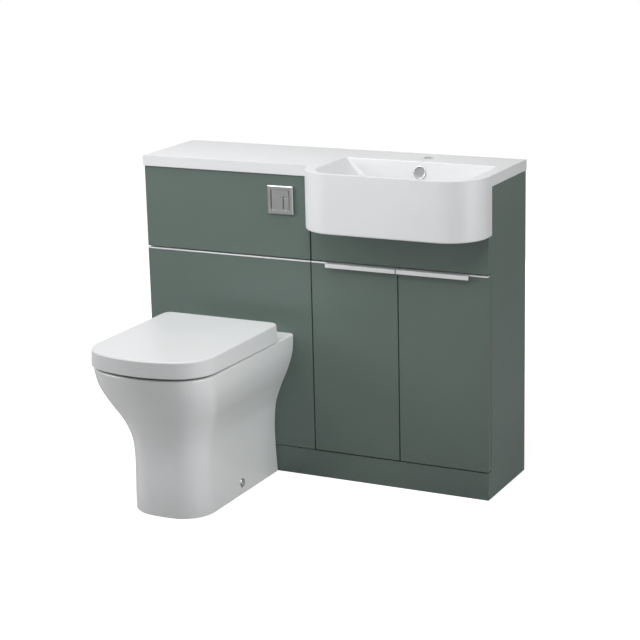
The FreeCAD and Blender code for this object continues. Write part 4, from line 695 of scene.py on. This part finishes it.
def make_bowl_hollow():
    """The bowl as a tool: a rolled rim, straight slopes, and a curve into the flat floor."""
    slope_end, floor_inset = 0.78, 0.022
    rings = [bowl_ring(0, BOWL_ROLL, OVERRUN)]
    for cosine, sine in quarter_arc(5):
        rings.append(bowl_ring(BOWL_ROLL * (1 - cosine) / BOWL_DEPTH, BOWL_ROLL * (1 - sine)))
    rings.extend(bowl_ring(share, 0) for share in (0.1, 0.22, 0.34, 0.46, 0.58, 0.7))
    for step in range(9):
        part = step / 8
        share = slope_end * (1 - part) ** 2 + 2 * part * (1 - part) + part**2
        rings.append(bowl_ring(share, -floor_inset * part**2))
    return ring_stack("bowl_hollow", rings)


def make_slab_and_apron():
    """The plan of top and apron, raised to the slab, with the apron drawn down in front."""
    left, right, back = TOP_LOW.x, TOP_HIGH.x, TOP_HIGH.y
    corner = APRON_CORNER
    corner_y = APRON_FRONT + corner
    plan = [
        Vector((left, back)),
        Vector((right, back)),
        *arc_run(Vector((right - corner, corner_y)), corner, 0, -QUARTER_TURN, 28),
        *arc_run(Vector((APRON_LEFT + corner, corner_y)), corner, -QUARTER_TURN, -math.pi, 28),
        Vector((APRON_LEFT, corner_y)),
        Vector((APRON_LEFT, SLAB_FRONT)),
        Vector((left, SLAB_FRONT)),
    ]
    cast = ring_stack(
        "basin_casting", [lifted(plan, 0, 0, SLAB_UNDER), lifted(plan, 0, 0, TOP_Z)]
    )
    for place, normal in (((0, APRON_BACK, 0), (0, 1, 0)), ((APRON_LEFT, 0, 0), (1, 0, 0))):
        edit_all(cast)
        bpy.ops.mesh.bisect(plane_co=place, plane_no=normal)
        leave_edit()
    edit_chosen(
        cast,
        "FACE",
        lambda face: face.normal.z < -0.9
        and face.center.x > APRON_LEFT
        and face.center.y < APRON_BACK,
    )
    bpy.ops.mesh.extrude_region_move(
        TRANSFORM_OT_translate={"value": (0, 0, APRON_LOW - SLAB_UNDER)}
    )
    leave_edit()
    edit_all(cast)
    bpy.ops.mesh.dissolve_limited(angle_limit=math.radians(0.5))
    leave_edit()
    return cast


def round_casting(cast):
    """Round the slab's free corners, the top, the apron's foot and the slab's free underside."""
    near = 0.001

    def ends(edge):
        return [cast.data.vertices[index].co for index in edge.vertices]

    def at_slab_corner(edge):
        low, high = sorted(ends(edge), key=lambda point: point.z)
        upright = high.z - low.z > 0.02
        return upright and max(low.x, high.x) < TOP_LOW.x + near

    def at_height(edge, height):
        return all(abs(point.z - height) < 0.0005 for point in ends(edge))

    def at_apron_foot(edge):
        low_y = min(point.y for point in ends(edge))
        return at_height(edge, APRON_LOW) and low_y < APRON_BACK - near

    def under_slab(edge):
        high_x = max(point.x for point in ends(edge))
        high_y = max(point.y for point in ends(edge))
        free = high_x < TOP_LOW.x + near or high_y < SLAB_FRONT + near
        return at_height(edge, SLAB_UNDER) and high_x < APRON_LEFT and free

    round_edges(cast, 0.003, 3, at_slab_corner)
    round_edges(cast, 0.003, 4, lambda edge: at_height(edge, TOP_Z))
    round_edges(cast, 0.004, 4, at_apron_foot)
    round_edges(cast, 0.0015, 2, under_slab)


def make_bowl_hull():
    """The bowl's outside below the slab."""
    under = SLAB_THICKNESS / BOWL_DEPTH
    foot_inset = 0.009
    return ring_stack(
        "bowl_hull",
        [
            bowl_ring(under, BOWL_WALL, OVERRUN),
            *[bowl_ring(share, BOWL_WALL) for share in (under, 0.45, 0.65, 0.85)],
            bowl_ring(1, BOWL_WALL, -foot_inset),
            bowl_ring(1, BOWL_WALL - 0.004, -BOWL_WALL),
        ],
    )


def make_overflow_boss():
    """The block behind the bowl's back wall that the overflow hose is plugged into."""
    boss = block(
        "overflow_boss",
        (BOWL_X - BOSS_HALF, HOSE_Y - 0.045, SLAB_UNDER - BOSS_DROP),
        (BOWL_X + BOSS_HALF, HOSE_Y + BOSS_HALF, SLAB_UNDER + 0.003),
    )
    round_edges(boss, 0.003, 2, lambda edge: True)
    return boss


def make_basin_bores():
    """The tools for the holes of tap, waste, overflow and hose."""
    tap, tap_edge = 0.0175, 0.0187
    return [
        turned(
            "tap_bore",
            [(tap, -0.032), (tap, -0.0015), (0.0179, -0.0005), (tap_edge, 0), (tap_edge, OVERRUN)],
            (BOWL_X, TAP_Y, TOP_Z),
        ),
        turned(
            "waste_bore",
            [(0.022, -0.030), (0.022, -0.001), (0.023, 0), (0.023, OVERRUN)],
            (BOWL_X, WASTE_Y, TOP_Z - BOWL_DEPTH),
        ),
        turned(
            "overflow_bore",
            [(0.011, 0), (0.011, HOSE_Y - OVERFLOW_Y)],
            (BOWL_X, OVERFLOW_Y, TOP_Z - OVERFLOW_DROP),
            TO_WALL,
        ),
        turned(
            "hose_bore",
            [(0.010, -0.002), (0.010, 0.010), (0.0075, 0.0102), (0.0075, 0.029)],
            (BOWL_X, HOSE_Y, SLAB_UNDER - BOSS_DROP),
        ),
    ]


def make_basin_top():
    cast = make_slab_and_apron()
    round_casting(cast)
    join_in(cast, make_bowl_hull(), make_overflow_boss())
    carve(cast, make_bowl_hollow(), *make_basin_bores())
    on_body(cast, "cabinet", "basin_top", angle=32)


def make_overflow_cover():
    slope = math.atan2(BACK_LEAN, BOWL_DEPTH)
    wall_y = BOWL_BACK - BACK_LEAN * OVERFLOW_DROP / BOWL_DEPTH
    cover = turned(
        "overflow_disc",
        [
            (0.009, -0.010), (0.009, 0), (0.0178, 0), (0.018, 0.0003), (0.018, 0.0014),
            (0.0176, 0.0023), (0.0168, 0.0028), (0.0158, 0.003), (0.0150, 0.0027),
            (0.0135, 0.0023), (0.008, 0.0021), (0.0006, 0.0021),
        ],
        (BOWL_X, FRONT_Y + wall_y, TOP_Z - OVERFLOW_DROP),
        Matrix.Rotation(QUARTER_TURN - slope, 4, "X"),
    )
    on_body(cover, "cabinet", "overflow_cover")


def make_plug():
    gap = 0.0033
    plug = turned(
        "waste_plug_disc",
        [
            (0.006, -0.043), (0.006, 0), (0.0286, 0), (0.029, 0.0005), (0.029, 0.002),
            (0.0284, 0.0034), (0.0268, 0.0044), (0.022, 0.0049), (0.010, 0.005), (0.0006, 0.005),
        ],
        (BOWL_X, WASTE_Y, TOP_Z - BOWL_DEPTH + gap),
    )
    on_body(plug, "waste_plug", "waste_plug")


# Pan

# Width, reach and front corner at the foot, and what each of them gains up to the rim
FOOT_WIDTH, WIDTH_GAIN = 0.213, 0.128
FOOT_REACH, REACH_GAIN = 0.436, 0.094
FOOT_CORNER, CORNER_GAIN = 0.084, 0.014
PAN_FRONT_RADIUS = 0.330

# Shares of the gain in width and in reach, at even steps from floor to rim
PAN_WIDTHS = (0.07, 0.02, -0.01, 0, 0.086, 0.352, 0.695, 0.937, 1)
PAN_REACHES = (-0.03, 0.02, 0.03, 0.01, 0.03, 0.19, 0.51, 0.82, 1)


def pan_outline(height, inset, back, back_corner):
    share = height / PAN_TOP
    wide = smooth_between(PAN_WIDTHS, share)
    long = smooth_between(PAN_REACHES, share)
    flare = min(max(long, 0), 1)
    return bowed_outline(
        (FOOT_WIDTH + WIDTH_GAIN * wide) / 2 - inset,
        FOOT_REACH + REACH_GAIN * long - inset,
        PAN_FRONT_RADIUS - inset,
        FOOT_CORNER + CORNER_GAIN * flare - inset,
        back,
        back_corner,
    )


def pan_ring(height, inset=0.0, back=0.0, back_corner=0.003, z=None):
    z = height if z is None else z
    return lifted(pan_outline(height, inset, back, back_corner), PAN_X, FRONT_Y, z)


# Width and length of the bowl at its sump, and what they gain up to its mouth
SUMP_WIDTH, MOUTH_WIDTH_GAIN = 0.084, 0.168
SUMP_LENGTH, MOUTH_LENGTH_GAIN = 0.096, 0.224

# Depth, size and slide to the sump's place, as shares at even steps from mouth to sump
BOWL_DEPTHS = (0, 0.3, 0.6, 0.85, 1)
BOWL_WIDTHS = (1, 0.94, 0.68, 0.2, 0)
BOWL_SLIDES = (0, 0.08, 0.35, 0.85, 1)


def pan_bowl_ring(part, grow, top, extra=0.0, rise=0.0):
    """One oval of the pan's bowl; grow also deepens the bowl, extra only widens the oval."""
    depth = smooth_between(BOWL_DEPTHS, part)
    wide = smooth_between(BOWL_WIDTHS, part)
    slide = smooth_between(BOWL_SLIDES, part)
    outline = oval_outline(
        SUMP_WIDTH + MOUTH_WIDTH_GAIN * wide + 2 * grow + 2 * extra,
        SUMP_LENGTH + MOUTH_LENGTH_GAIN * wide + 2 * grow + 2 * extra,
    )
    y = FRONT_Y - MOUTH_REACH + (MOUTH_REACH - SUMP_REACH) * slide
    return lifted(outline, PAN_X, y, top - (top - SUMP_Z + grow) * depth + rise)


def trapway(radius, past):
    """The passage from the sump over the weir and down to the outlet."""
    sump = Vector((PAN_X, FRONT_Y - SUMP_REACH, SUMP_Z + TRAP_RADIUS))
    weir = Vector((PAN_X, FRONT_Y - WEIR_REACH, WEIR_Z))
    bend = Vector((PAN_X, FRONT_Y - BEND_REACH, OUTLET_Z))
    outlet = Vector((PAN_X, FRONT_Y + past, OUTLET_Z))
    return [
        rod("rise", sump, weir, radius, True, True),
        rod("fall", weir, bend, radius, False, True),
        rod("outlet", bend, outlet, radius),
    ]


def inlet(name, radius, length):
    place = (PAN_X, FRONT_Y - INLET_REACH, INLET_Z)
    return turned(name, [(radius, 0), (radius, length)], place, TO_WALL)


def make_skirt():
    """The pan's outside as a solid, with a small round at its foot and a larger one at its rim."""
    straight = PAN_TOP - PAN_ROLL - FOOT_ROUND
    rings = [pan_ring(0, FOOT_ROUND)]
    rings.extend(pan_ring(FOOT_ROUND + straight * step / 40) for step in range(41))
    for cosine, sine in quarter_arc(5)[1:]:
        rings.append(pan_ring(PAN_TOP - PAN_ROLL + PAN_ROLL * sine, PAN_ROLL * (1 - cosine)))
    return ring_stack("pan_china", rings)


def make_skirt_hollow():
    """The space inside the skirt below the ledge, open to the floor and to the back."""
    past, corner = 0.003, 0.001
    rings = [pan_ring(0, PAN_WALL, past, corner, -past)]
    rings.extend(pan_ring(LEDGE_Z * step / 16, PAN_WALL, past, corner) for step in range(1, 17))
    return ring_stack("pan_hollow", rings)


def make_bowl_shell():
    rings = [pan_bowl_ring(step / 12, SHELL_WALL, SHELL_TOP) for step in range(13)]
    return ring_stack("bowl_shell", rings)


def make_bowl_space():
    """The pan's bowl as a tool, with its rolled mouth."""
    rings = [pan_bowl_ring(0, 0, PAN_TOP, MOUTH_ROLL, 0.003)]
    for cosine, sine in quarter_arc(5):
        rings.append(
            pan_bowl_ring(0, 0, PAN_TOP, MOUTH_ROLL * (1 - sine), -MOUTH_ROLL * (1 - cosine))
        )
    rings.extend(pan_bowl_ring(step / 16, 0, PAN_TOP) for step in range(2, 17))
    return ring_stack("bowl_space", rings)


SIDES = (("left", -1, TO_LEFT), ("right", 1, TO_RIGHT))


def cap_place(side):
    return (PAN_X + side * CAP_SPREAD, FRONT_Y - CAP_REACH, CAP_Z)


def make_fixing_bores():
    """The tools for the hinge posts' holes in the ledge and for the seats of the fixing caps."""
    depth = 0.022
    tools = []
    for _, side, turn in SIDES:
        tools.append(turned(
            "hinge_bore",
            [(0.006, 0), (0.006, depth + OVERRUN)],
            (PAN_X + side * HINGE_SPREAD, HINGE_Y, PAN_TOP - depth),
        ))
        tools.append(turned(
            "cap_seat",
            [(0.004, -0.024), (0.004, 0), (0.0123, 0.0001), (0.0135, 0.012)],
            cap_place(side),
            turn,
        ))
    return tools


def make_pan():
    pan = make_skirt()
    carve(pan, make_skirt_hollow())
    join_in(
        pan,
        make_bowl_shell(),
        *trapway(TRAP_RADIUS + SHELL_WALL, -OUTLET_END),
        inlet("inlet_spigot", INLET_RADIUS + SHELL_WALL, SPIGOT_LENGTH),
    )
    carve(
        pan,
        make_bowl_space(),
        *trapway(TRAP_RADIUS, OVERRUN),
        inlet("inlet_bore", INLET_RADIUS, INLET_REACH + OVERRUN),
        *make_fixing_bores(),
    )
    on_body(pan, "cabinet", "wc_pan", "wc_pan_bowl", angle=40)


def make_fixing_caps():
    """The screw with its chrome cap, low on each side of the pan."""
    profile = [
        (0.004, -0.045), (0.004, 0), (0.0118, 0), (0.012, 0.0004), (0.012, 0.0022),
        (0.0114, 0.0033), (0.0104, 0.0039), (0.0090, 0.004), (0.0058, 0.0038),
        (0.0050, 0.0034), (0.0046, 0.0016), (0.0006, 0.0014),
    ]
    caps = [
        turned(f"fixing_cap_{word}", profile, cap_place(side), turn) for word, side, turn in SIDES
    ]
    for cap in caps:
        on_body(cap, "cabinet", slot="chrome")
    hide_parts("pan_fixing_screws")


# Lid and seat

# Plans: half the width, reach, radius of the front, front corner, back and back corner
LID_PLAN = (0.174, LID_REACH, 0.322, 0.100, -LID_BACK, 0.024)
SEAT_PLAN = (0.165, 0.526, 0.313, 0.091, -SEAT_BACK, 0.024)
SEAT_HOLE_PLAN = (0.106, 0.458, 0.150, 0.070, -0.172, 0.060)


def plan_ring(plan, grow, z):
    return lifted(bowed_outline(*(measure + grow for measure in plan)), PAN_X, FRONT_Y, z)


def shrunk_ring(ring, share, z):
    """A ring drawn in towards its middle."""
    middle = sum(ring, Vector()) / len(ring)
    return [
        Vector((middle.x + (p.x - middle.x) * share, middle.y + (p.y - middle.y) * share, z))
        for p in ring
    ]


def make_ear(name, x, webbed):
    """A barrel round the hinge pin, with a web up to the lid or an arm to the seat."""
    half, radius, chamfer, thick = 0.0075, 0.007, 0.0008, 0.0035
    bore, bore_half = 0.00355, 0.010
    pin = (x, HINGE_Y, HINGE_Z)
    profile = [
        (radius - chamfer, -half), (radius, chamfer - half),
        (radius, half - chamfer), (radius - chamfer, half),
    ]
    ear = turned(name, profile, pin, TO_RIGHT, count=40)
    if webbed:
        low = (x - half, HINGE_Y - thick, HINGE_Z)
        high = (x + half, HINGE_Y + thick, LID_TOP - 0.002)
    else:
        low = (x - half, FRONT_Y - SEAT_BACK - 0.0025, HINGE_Z - thick)
        high = (x + half, HINGE_Y, HINGE_Z + thick)
    join_in(ear, block("ear_arm", low, high))
    carve(ear, turned("pin_bore", [(bore, -bore_half), (bore, bore_half)], pin, TO_RIGHT, count=32))
    return ear


def make_ears(name, spread, webbed):
    return [make_ear(name, PAN_X + side * spread, webbed) for side in (-1, 1)]


def lid_edge(local_y):
    """The lid's lower edge: it rises to the front, and behind the hinge line."""
    behind = local_y + HINGE_REACH
    if behind > 0:
        return LID_LOW + 0.005 * behind / (HINGE_REACH - LID_BACK)
    return LID_LOW - 0.0056 * behind / (LID_REACH - HINGE_REACH)


def make_lid_cap():
    """The lid as one skin: its ceiling, down its inside, round its edge, and up to its top."""
    wall, roll, draft, crown = 0.005, 0.006, 0.002, 0.0012
    ceiling = LID_TOP - wall
    side_top = LID_TOP - roll
    lean = 0.8 * draft

    def ring(inset, z):
        return plan_ring(LID_PLAN, -inset, z)

    def above_edge(rise):
        return lambda y: lid_edge(y) + rise

    def up_side(share):
        return lambda y: lid_edge(y) + (side_top - lid_edge(y)) * share

    inner = ring(wall + draft + 0.004, ceiling)
    rings = [shrunk_ring(inner, share, ceiling + 0.0008 * (1 - share)) for share in (0.1, 0.5)]
    rings += [
        inner,
        ring(wall + draft + 0.001, ceiling - 0.002),
        ring(wall + draft, ceiling - 0.006),
        ring(wall + 0.0008, above_edge(0.0008)),
        ring(wall, lid_edge),
        ring(0.0014, lid_edge),
        ring(0.0004, above_edge(0.0005)),
        ring(0, above_edge(0.0015)),
    ]
    rings.extend(ring(lean * share, up_side(share)) for share in (0.2, 0.4, 0.6, 0.8))
    for cosine, sine in quarter_arc(7):
        rings.append(ring(lean + roll * (1 - cosine), side_top + (roll - crown) * sine))
    outer = rings[-1]
    for share in (0.94, 0.84, 0.68, 0.5, 0.3, 0.12):
        rings.append(shrunk_ring(outer, share, LID_TOP - crown * share**2))
    return ring_stack("lid_cap", rings)


def lid_back_cut(name, x, half, height):
    """A block to cut out of the lid's back edge."""
    back = FRONT_Y - LID_BACK
    low = (x - half, back - 0.009, LID_LOW - OVERRUN)
    high = (x + half, back + 0.006, LID_LOW + height)
    return block(name, low, high)


def make_lid():
    lid = make_lid_cap()
    cuts = [lid_back_cut("back_lift", PAN_X, 0.150, 0.013)]
    for side in (-1, 1):
        cuts.append(lid_back_cut("post_notch", PAN_X + side * HINGE_SPREAD, 0.028, 0.035))
    carve(lid, *cuts)
    join_in(lid, *make_ears("lid_ear", HINGE_SPREAD - EAR_OFFSET, True))
    on_body(lid, "lid", "toilet_lid", angle=40)


def make_seat():
    """The seat as one skin: up its outside, over its top, down its hole, and along its inside."""
    bottom, top = SEAT_LOW, SEAT_TOP
    wall, edge, roll, hole_roll = 0.005, 0.0012, 0.008, 0.012
    under_top = top - 0.0065
    rings = []

    def outer(inset, z):
        rings.append(plan_ring(SEAT_PLAN, -inset, z))

    def inner(grow, z):
        rings.append(plan_ring(SEAT_HOLE_PLAN, grow, z))

    outer(edge, bottom)
    outer(0, bottom + edge)
    outer(0, bottom + 0.012)
    for cosine, sine in quarter_arc(5):
        outer(roll * (1 - cosine), top - roll + roll * sine)
    outer(0.016, top)
    inner(0.022, top - 0.0006)
    for cosine, sine in quarter_arc(6):
        inner(hole_roll * (1 - sine), top - 0.0012 - hole_roll * (1 - cosine))
    inner(0, bottom + edge)
    inner(edge, bottom)
    inner(wall, bottom)
    inner(wall, top - 0.0145)
    inner(wall + 0.006, under_top)
    outer(wall + 0.004, under_top)
    outer(wall, top - 0.010)
    outer(wall, bottom)
    seat = closed_ring_stack("seat_ring", rings)
    join_in(seat, *make_ears("seat_ear", HINGE_SPREAD + EAR_OFFSET, False))
    on_body(seat, "seat", "toilet_seat", angle=40)


# Boards, fronts and small parts that keep their CAD shape, with softened edges

# Piece, CAD node, body and width of the rounds
SOFTENED = (
    ("left_door_leaf", "door_left", "door_left", 0.0010),
    ("right_door_leaf", "door_right", "door_right", 0.0010),
    ("access_panel_leaf", "wc_access_panel", "cabinet", 0.0010),
    ("lower_panel_leaf", "wc_lower_panel", "cabinet", 0.0010),
    ("fascia_board", "vanity_fascia", "cabinet", 0.0008),
    ("plinth_board", "plinth", "cabinet", 0.0008),
    ("left_outer_side", "wc_side_left", "cabinet", 0.0008),
    ("right_outer_side", "vanity_side_right", "cabinet", 0.0008),
    ("inner_side_wc", "wc_side_right", "cabinet", 0.0006),
    ("inner_side_vanity", "vanity_side_left", "cabinet", 0.0006),
    ("shelf_board", "shelf", "cabinet", 0.0008),
    ("bottom_board", "vanity_bottom", "cabinet", 0.0006),
    ("panel_edge_trim", "panel_trim", "cabinet", 0.0003),
    ("left_door_pull", "door_left_pull", "door_left", 0.0004),
    ("right_door_pull", "door_right_pull", "door_right", 0.0004),
    ("plate_frame", "flush_plate", "cabinet", 0.0005),
    ("full_flush_face", "full_flush_button", "full_flush_button", 0.0006),
    ("half_flush_face", "half_flush_button", "half_flush_button", 0.0006),
    ("hinge_posts", "seat_hinge_posts", "cabinet", 0.0008),
    ("hinge_arm_bars", "hinge_arms", "cabinet", 0.0012),
    ("hinge_side_plates", "hinge_plates", "cabinet", 0.0008),
)


def make_softened():
    for name, node, body, width in SOFTENED:
        on_body(softened(name, node, width), body, node)


def finish_cad_nodes():
    """Every node that keeps its CAD mesh gets its slot's finish."""
    for name, node in frame["nodes"].items():
        node.data.materials.clear()
        node.data.materials.append(FINISHES[SLOT_OF[name]])


# Floor, light and surroundings

def make_floor_finish():
    """A matt floor that the camera sees fade to white away from the object."""
    material = bpy.data.materials.new("pale floor")
    material.use_nodes = True
    nodes, links = material.node_tree.nodes, material.node_tree.links
    shader = nodes["Principled BSDF"]
    shader.inputs["Base Color"].default_value = (0.60, 0.60, 0.60, 1)
    shader.inputs["Roughness"].default_value = 0.9
    glow = nodes.new("ShaderNodeEmission")
    place = nodes.new("ShaderNodeTexCoord")
    far = nodes.new("ShaderNodeVectorMath")
    far.operation = "LENGTH"
    links.new(place.outputs["Object"], far.inputs[0])
    whiter = nodes.new("ShaderNodeMapRange")
    whiter.interpolation_type = "SMOOTHSTEP"
    whiter.inputs["From Min"].default_value = 0.8
    whiter.inputs["From Max"].default_value = 1.9
    whiter.inputs["To Min"].default_value = 0.80
    whiter.inputs["To Max"].default_value = 1
    links.new(far.outputs["Value"], whiter.inputs["Value"])
    rays = nodes.new("ShaderNodeLightPath")
    level = nodes.new("ShaderNodeMath")
    level.operation = "MULTIPLY"
    links.new(rays.outputs["Is Camera Ray"], level.inputs[0])
    links.new(whiter.outputs["Result"], level.inputs[1])
    links.new(level.outputs["Value"], glow.inputs["Strength"])
    both = nodes.new("ShaderNodeAddShader")
    links.new(shader.outputs["BSDF"], both.inputs[0])
    links.new(glow.outputs["Emission"], both.inputs[1])
    links.new(both.outputs["Shader"], nodes["Material Output"].inputs["Surface"])
    return material


def add_floor():
    nothing_selected()
    bpy.ops.mesh.primitive_circle_add(
        vertices=96, radius=7, fill_type="NGON", location=(0, 0, -0.0005)
    )
    floor = bpy.context.object
    floor.name = "studio_floor"
    floor.data.materials.append(make_floor_finish())


# Name, place, the point it looks at, width and height, and power in watts
LAMPS = (
    ("left_softbox", (-2.4, -1.4, 1.6), (0, 0, 0.5), (1.2, 1.2), 35),
    ("near_left_softbox", (-0.6, -0.75, 1.7), (0, 0.1, 0.6), (0.5, 0.5), 4.3),
    ("top_softbox", (-0.5, -0.2, 2.4), (-0.3, 0, 0.6), (0.7, 0.7), 14.5),
    ("near_right_softbox", (0.6, -0.7, 1.6), (0.1, 0, 0.4), (0.4, 0.4), 4.8),
    ("right_softbox", (2.7, -0.2, 1.1), (0.3, 0.1, 0.4), (1.4, 1.4), 25),
    ("low_strip", (0.45, -0.5, 0.62), (-0.2, -0.25, 0.25), (0.25, 0.25), 0.6),
    ("back_softbox", (-0.3, 2.8, 0.6), (0, 0.4, 0.4), (1.4, 0.9), 12),
)


def add_lamps():
    for name, place, target, size, power in LAMPS:
        nothing_selected()
        bpy.ops.object.light_add(type="AREA", location=place)
        lamp = bpy.context.object
        lamp.name = name
        lamp.data.shape = "RECTANGLE"
        lamp.data.size, lamp.data.size_y = size
        lamp.data.energy = power
        aim = (Vector(target) - Vector(place)).to_track_quat("-Z", "Y")
        lamp.rotation_euler = aim.to_euler()


def add_room():
    """White to the camera, nearly as bright in mirrors, and only a faint light on the object."""
    ambient, mirrored_gain = 0.03, 0.84
    scene = bpy.context.scene
    world = bpy.data.worlds.new("studio")
    scene.world = world
    world.use_nodes = True
    nodes, links = world.node_tree.nodes, world.node_tree.links
    room = nodes["Background"]
    rays = nodes.new("ShaderNodeLightPath")
    mirrored = nodes.new("ShaderNodeMath")
    mirrored.operation = "MULTIPLY_ADD"
    mirrored.inputs[1].default_value = mirrored_gain
    mirrored.inputs[2].default_value = ambient
    links.new(rays.outputs["Is Glossy Ray"], mirrored.inputs[0])
    links.new(mirrored.outputs["Value"], room.inputs["Strength"])
    white = nodes.new("ShaderNodeBackground")
    for background in (room, white):
        background.inputs["Color"].default_value = (1, 1, 1, 1)
    white.inputs["Strength"].default_value = 1
    seen = nodes.new("ShaderNodeMath")
    seen.operation = "MAXIMUM"
    links.new(rays.outputs["Is Camera Ray"], seen.inputs[0])
    links.new(rays.outputs["Is Transmission Ray"], seen.inputs[1])
    choice = nodes.new("ShaderNodeMixShader")
    links.new(seen.outputs["Value"], choice.inputs["Fac"])
    links.new(room.outputs["Background"], choice.inputs[1])
    links.new(white.outputs["Background"], choice.inputs[2])
    links.new(choice.outputs["Shader"], nodes["World Output"].inputs["Surface"])
    scene.view_settings.view_transform = "Standard"


add_camera()
finish_cad_nodes()
make_basin_top()
make_overflow_cover()
make_plug()
make_pan()
make_fixing_caps()
make_lid()
make_seat()
make_softened()
add_floor()
add_lamps()
add_room()
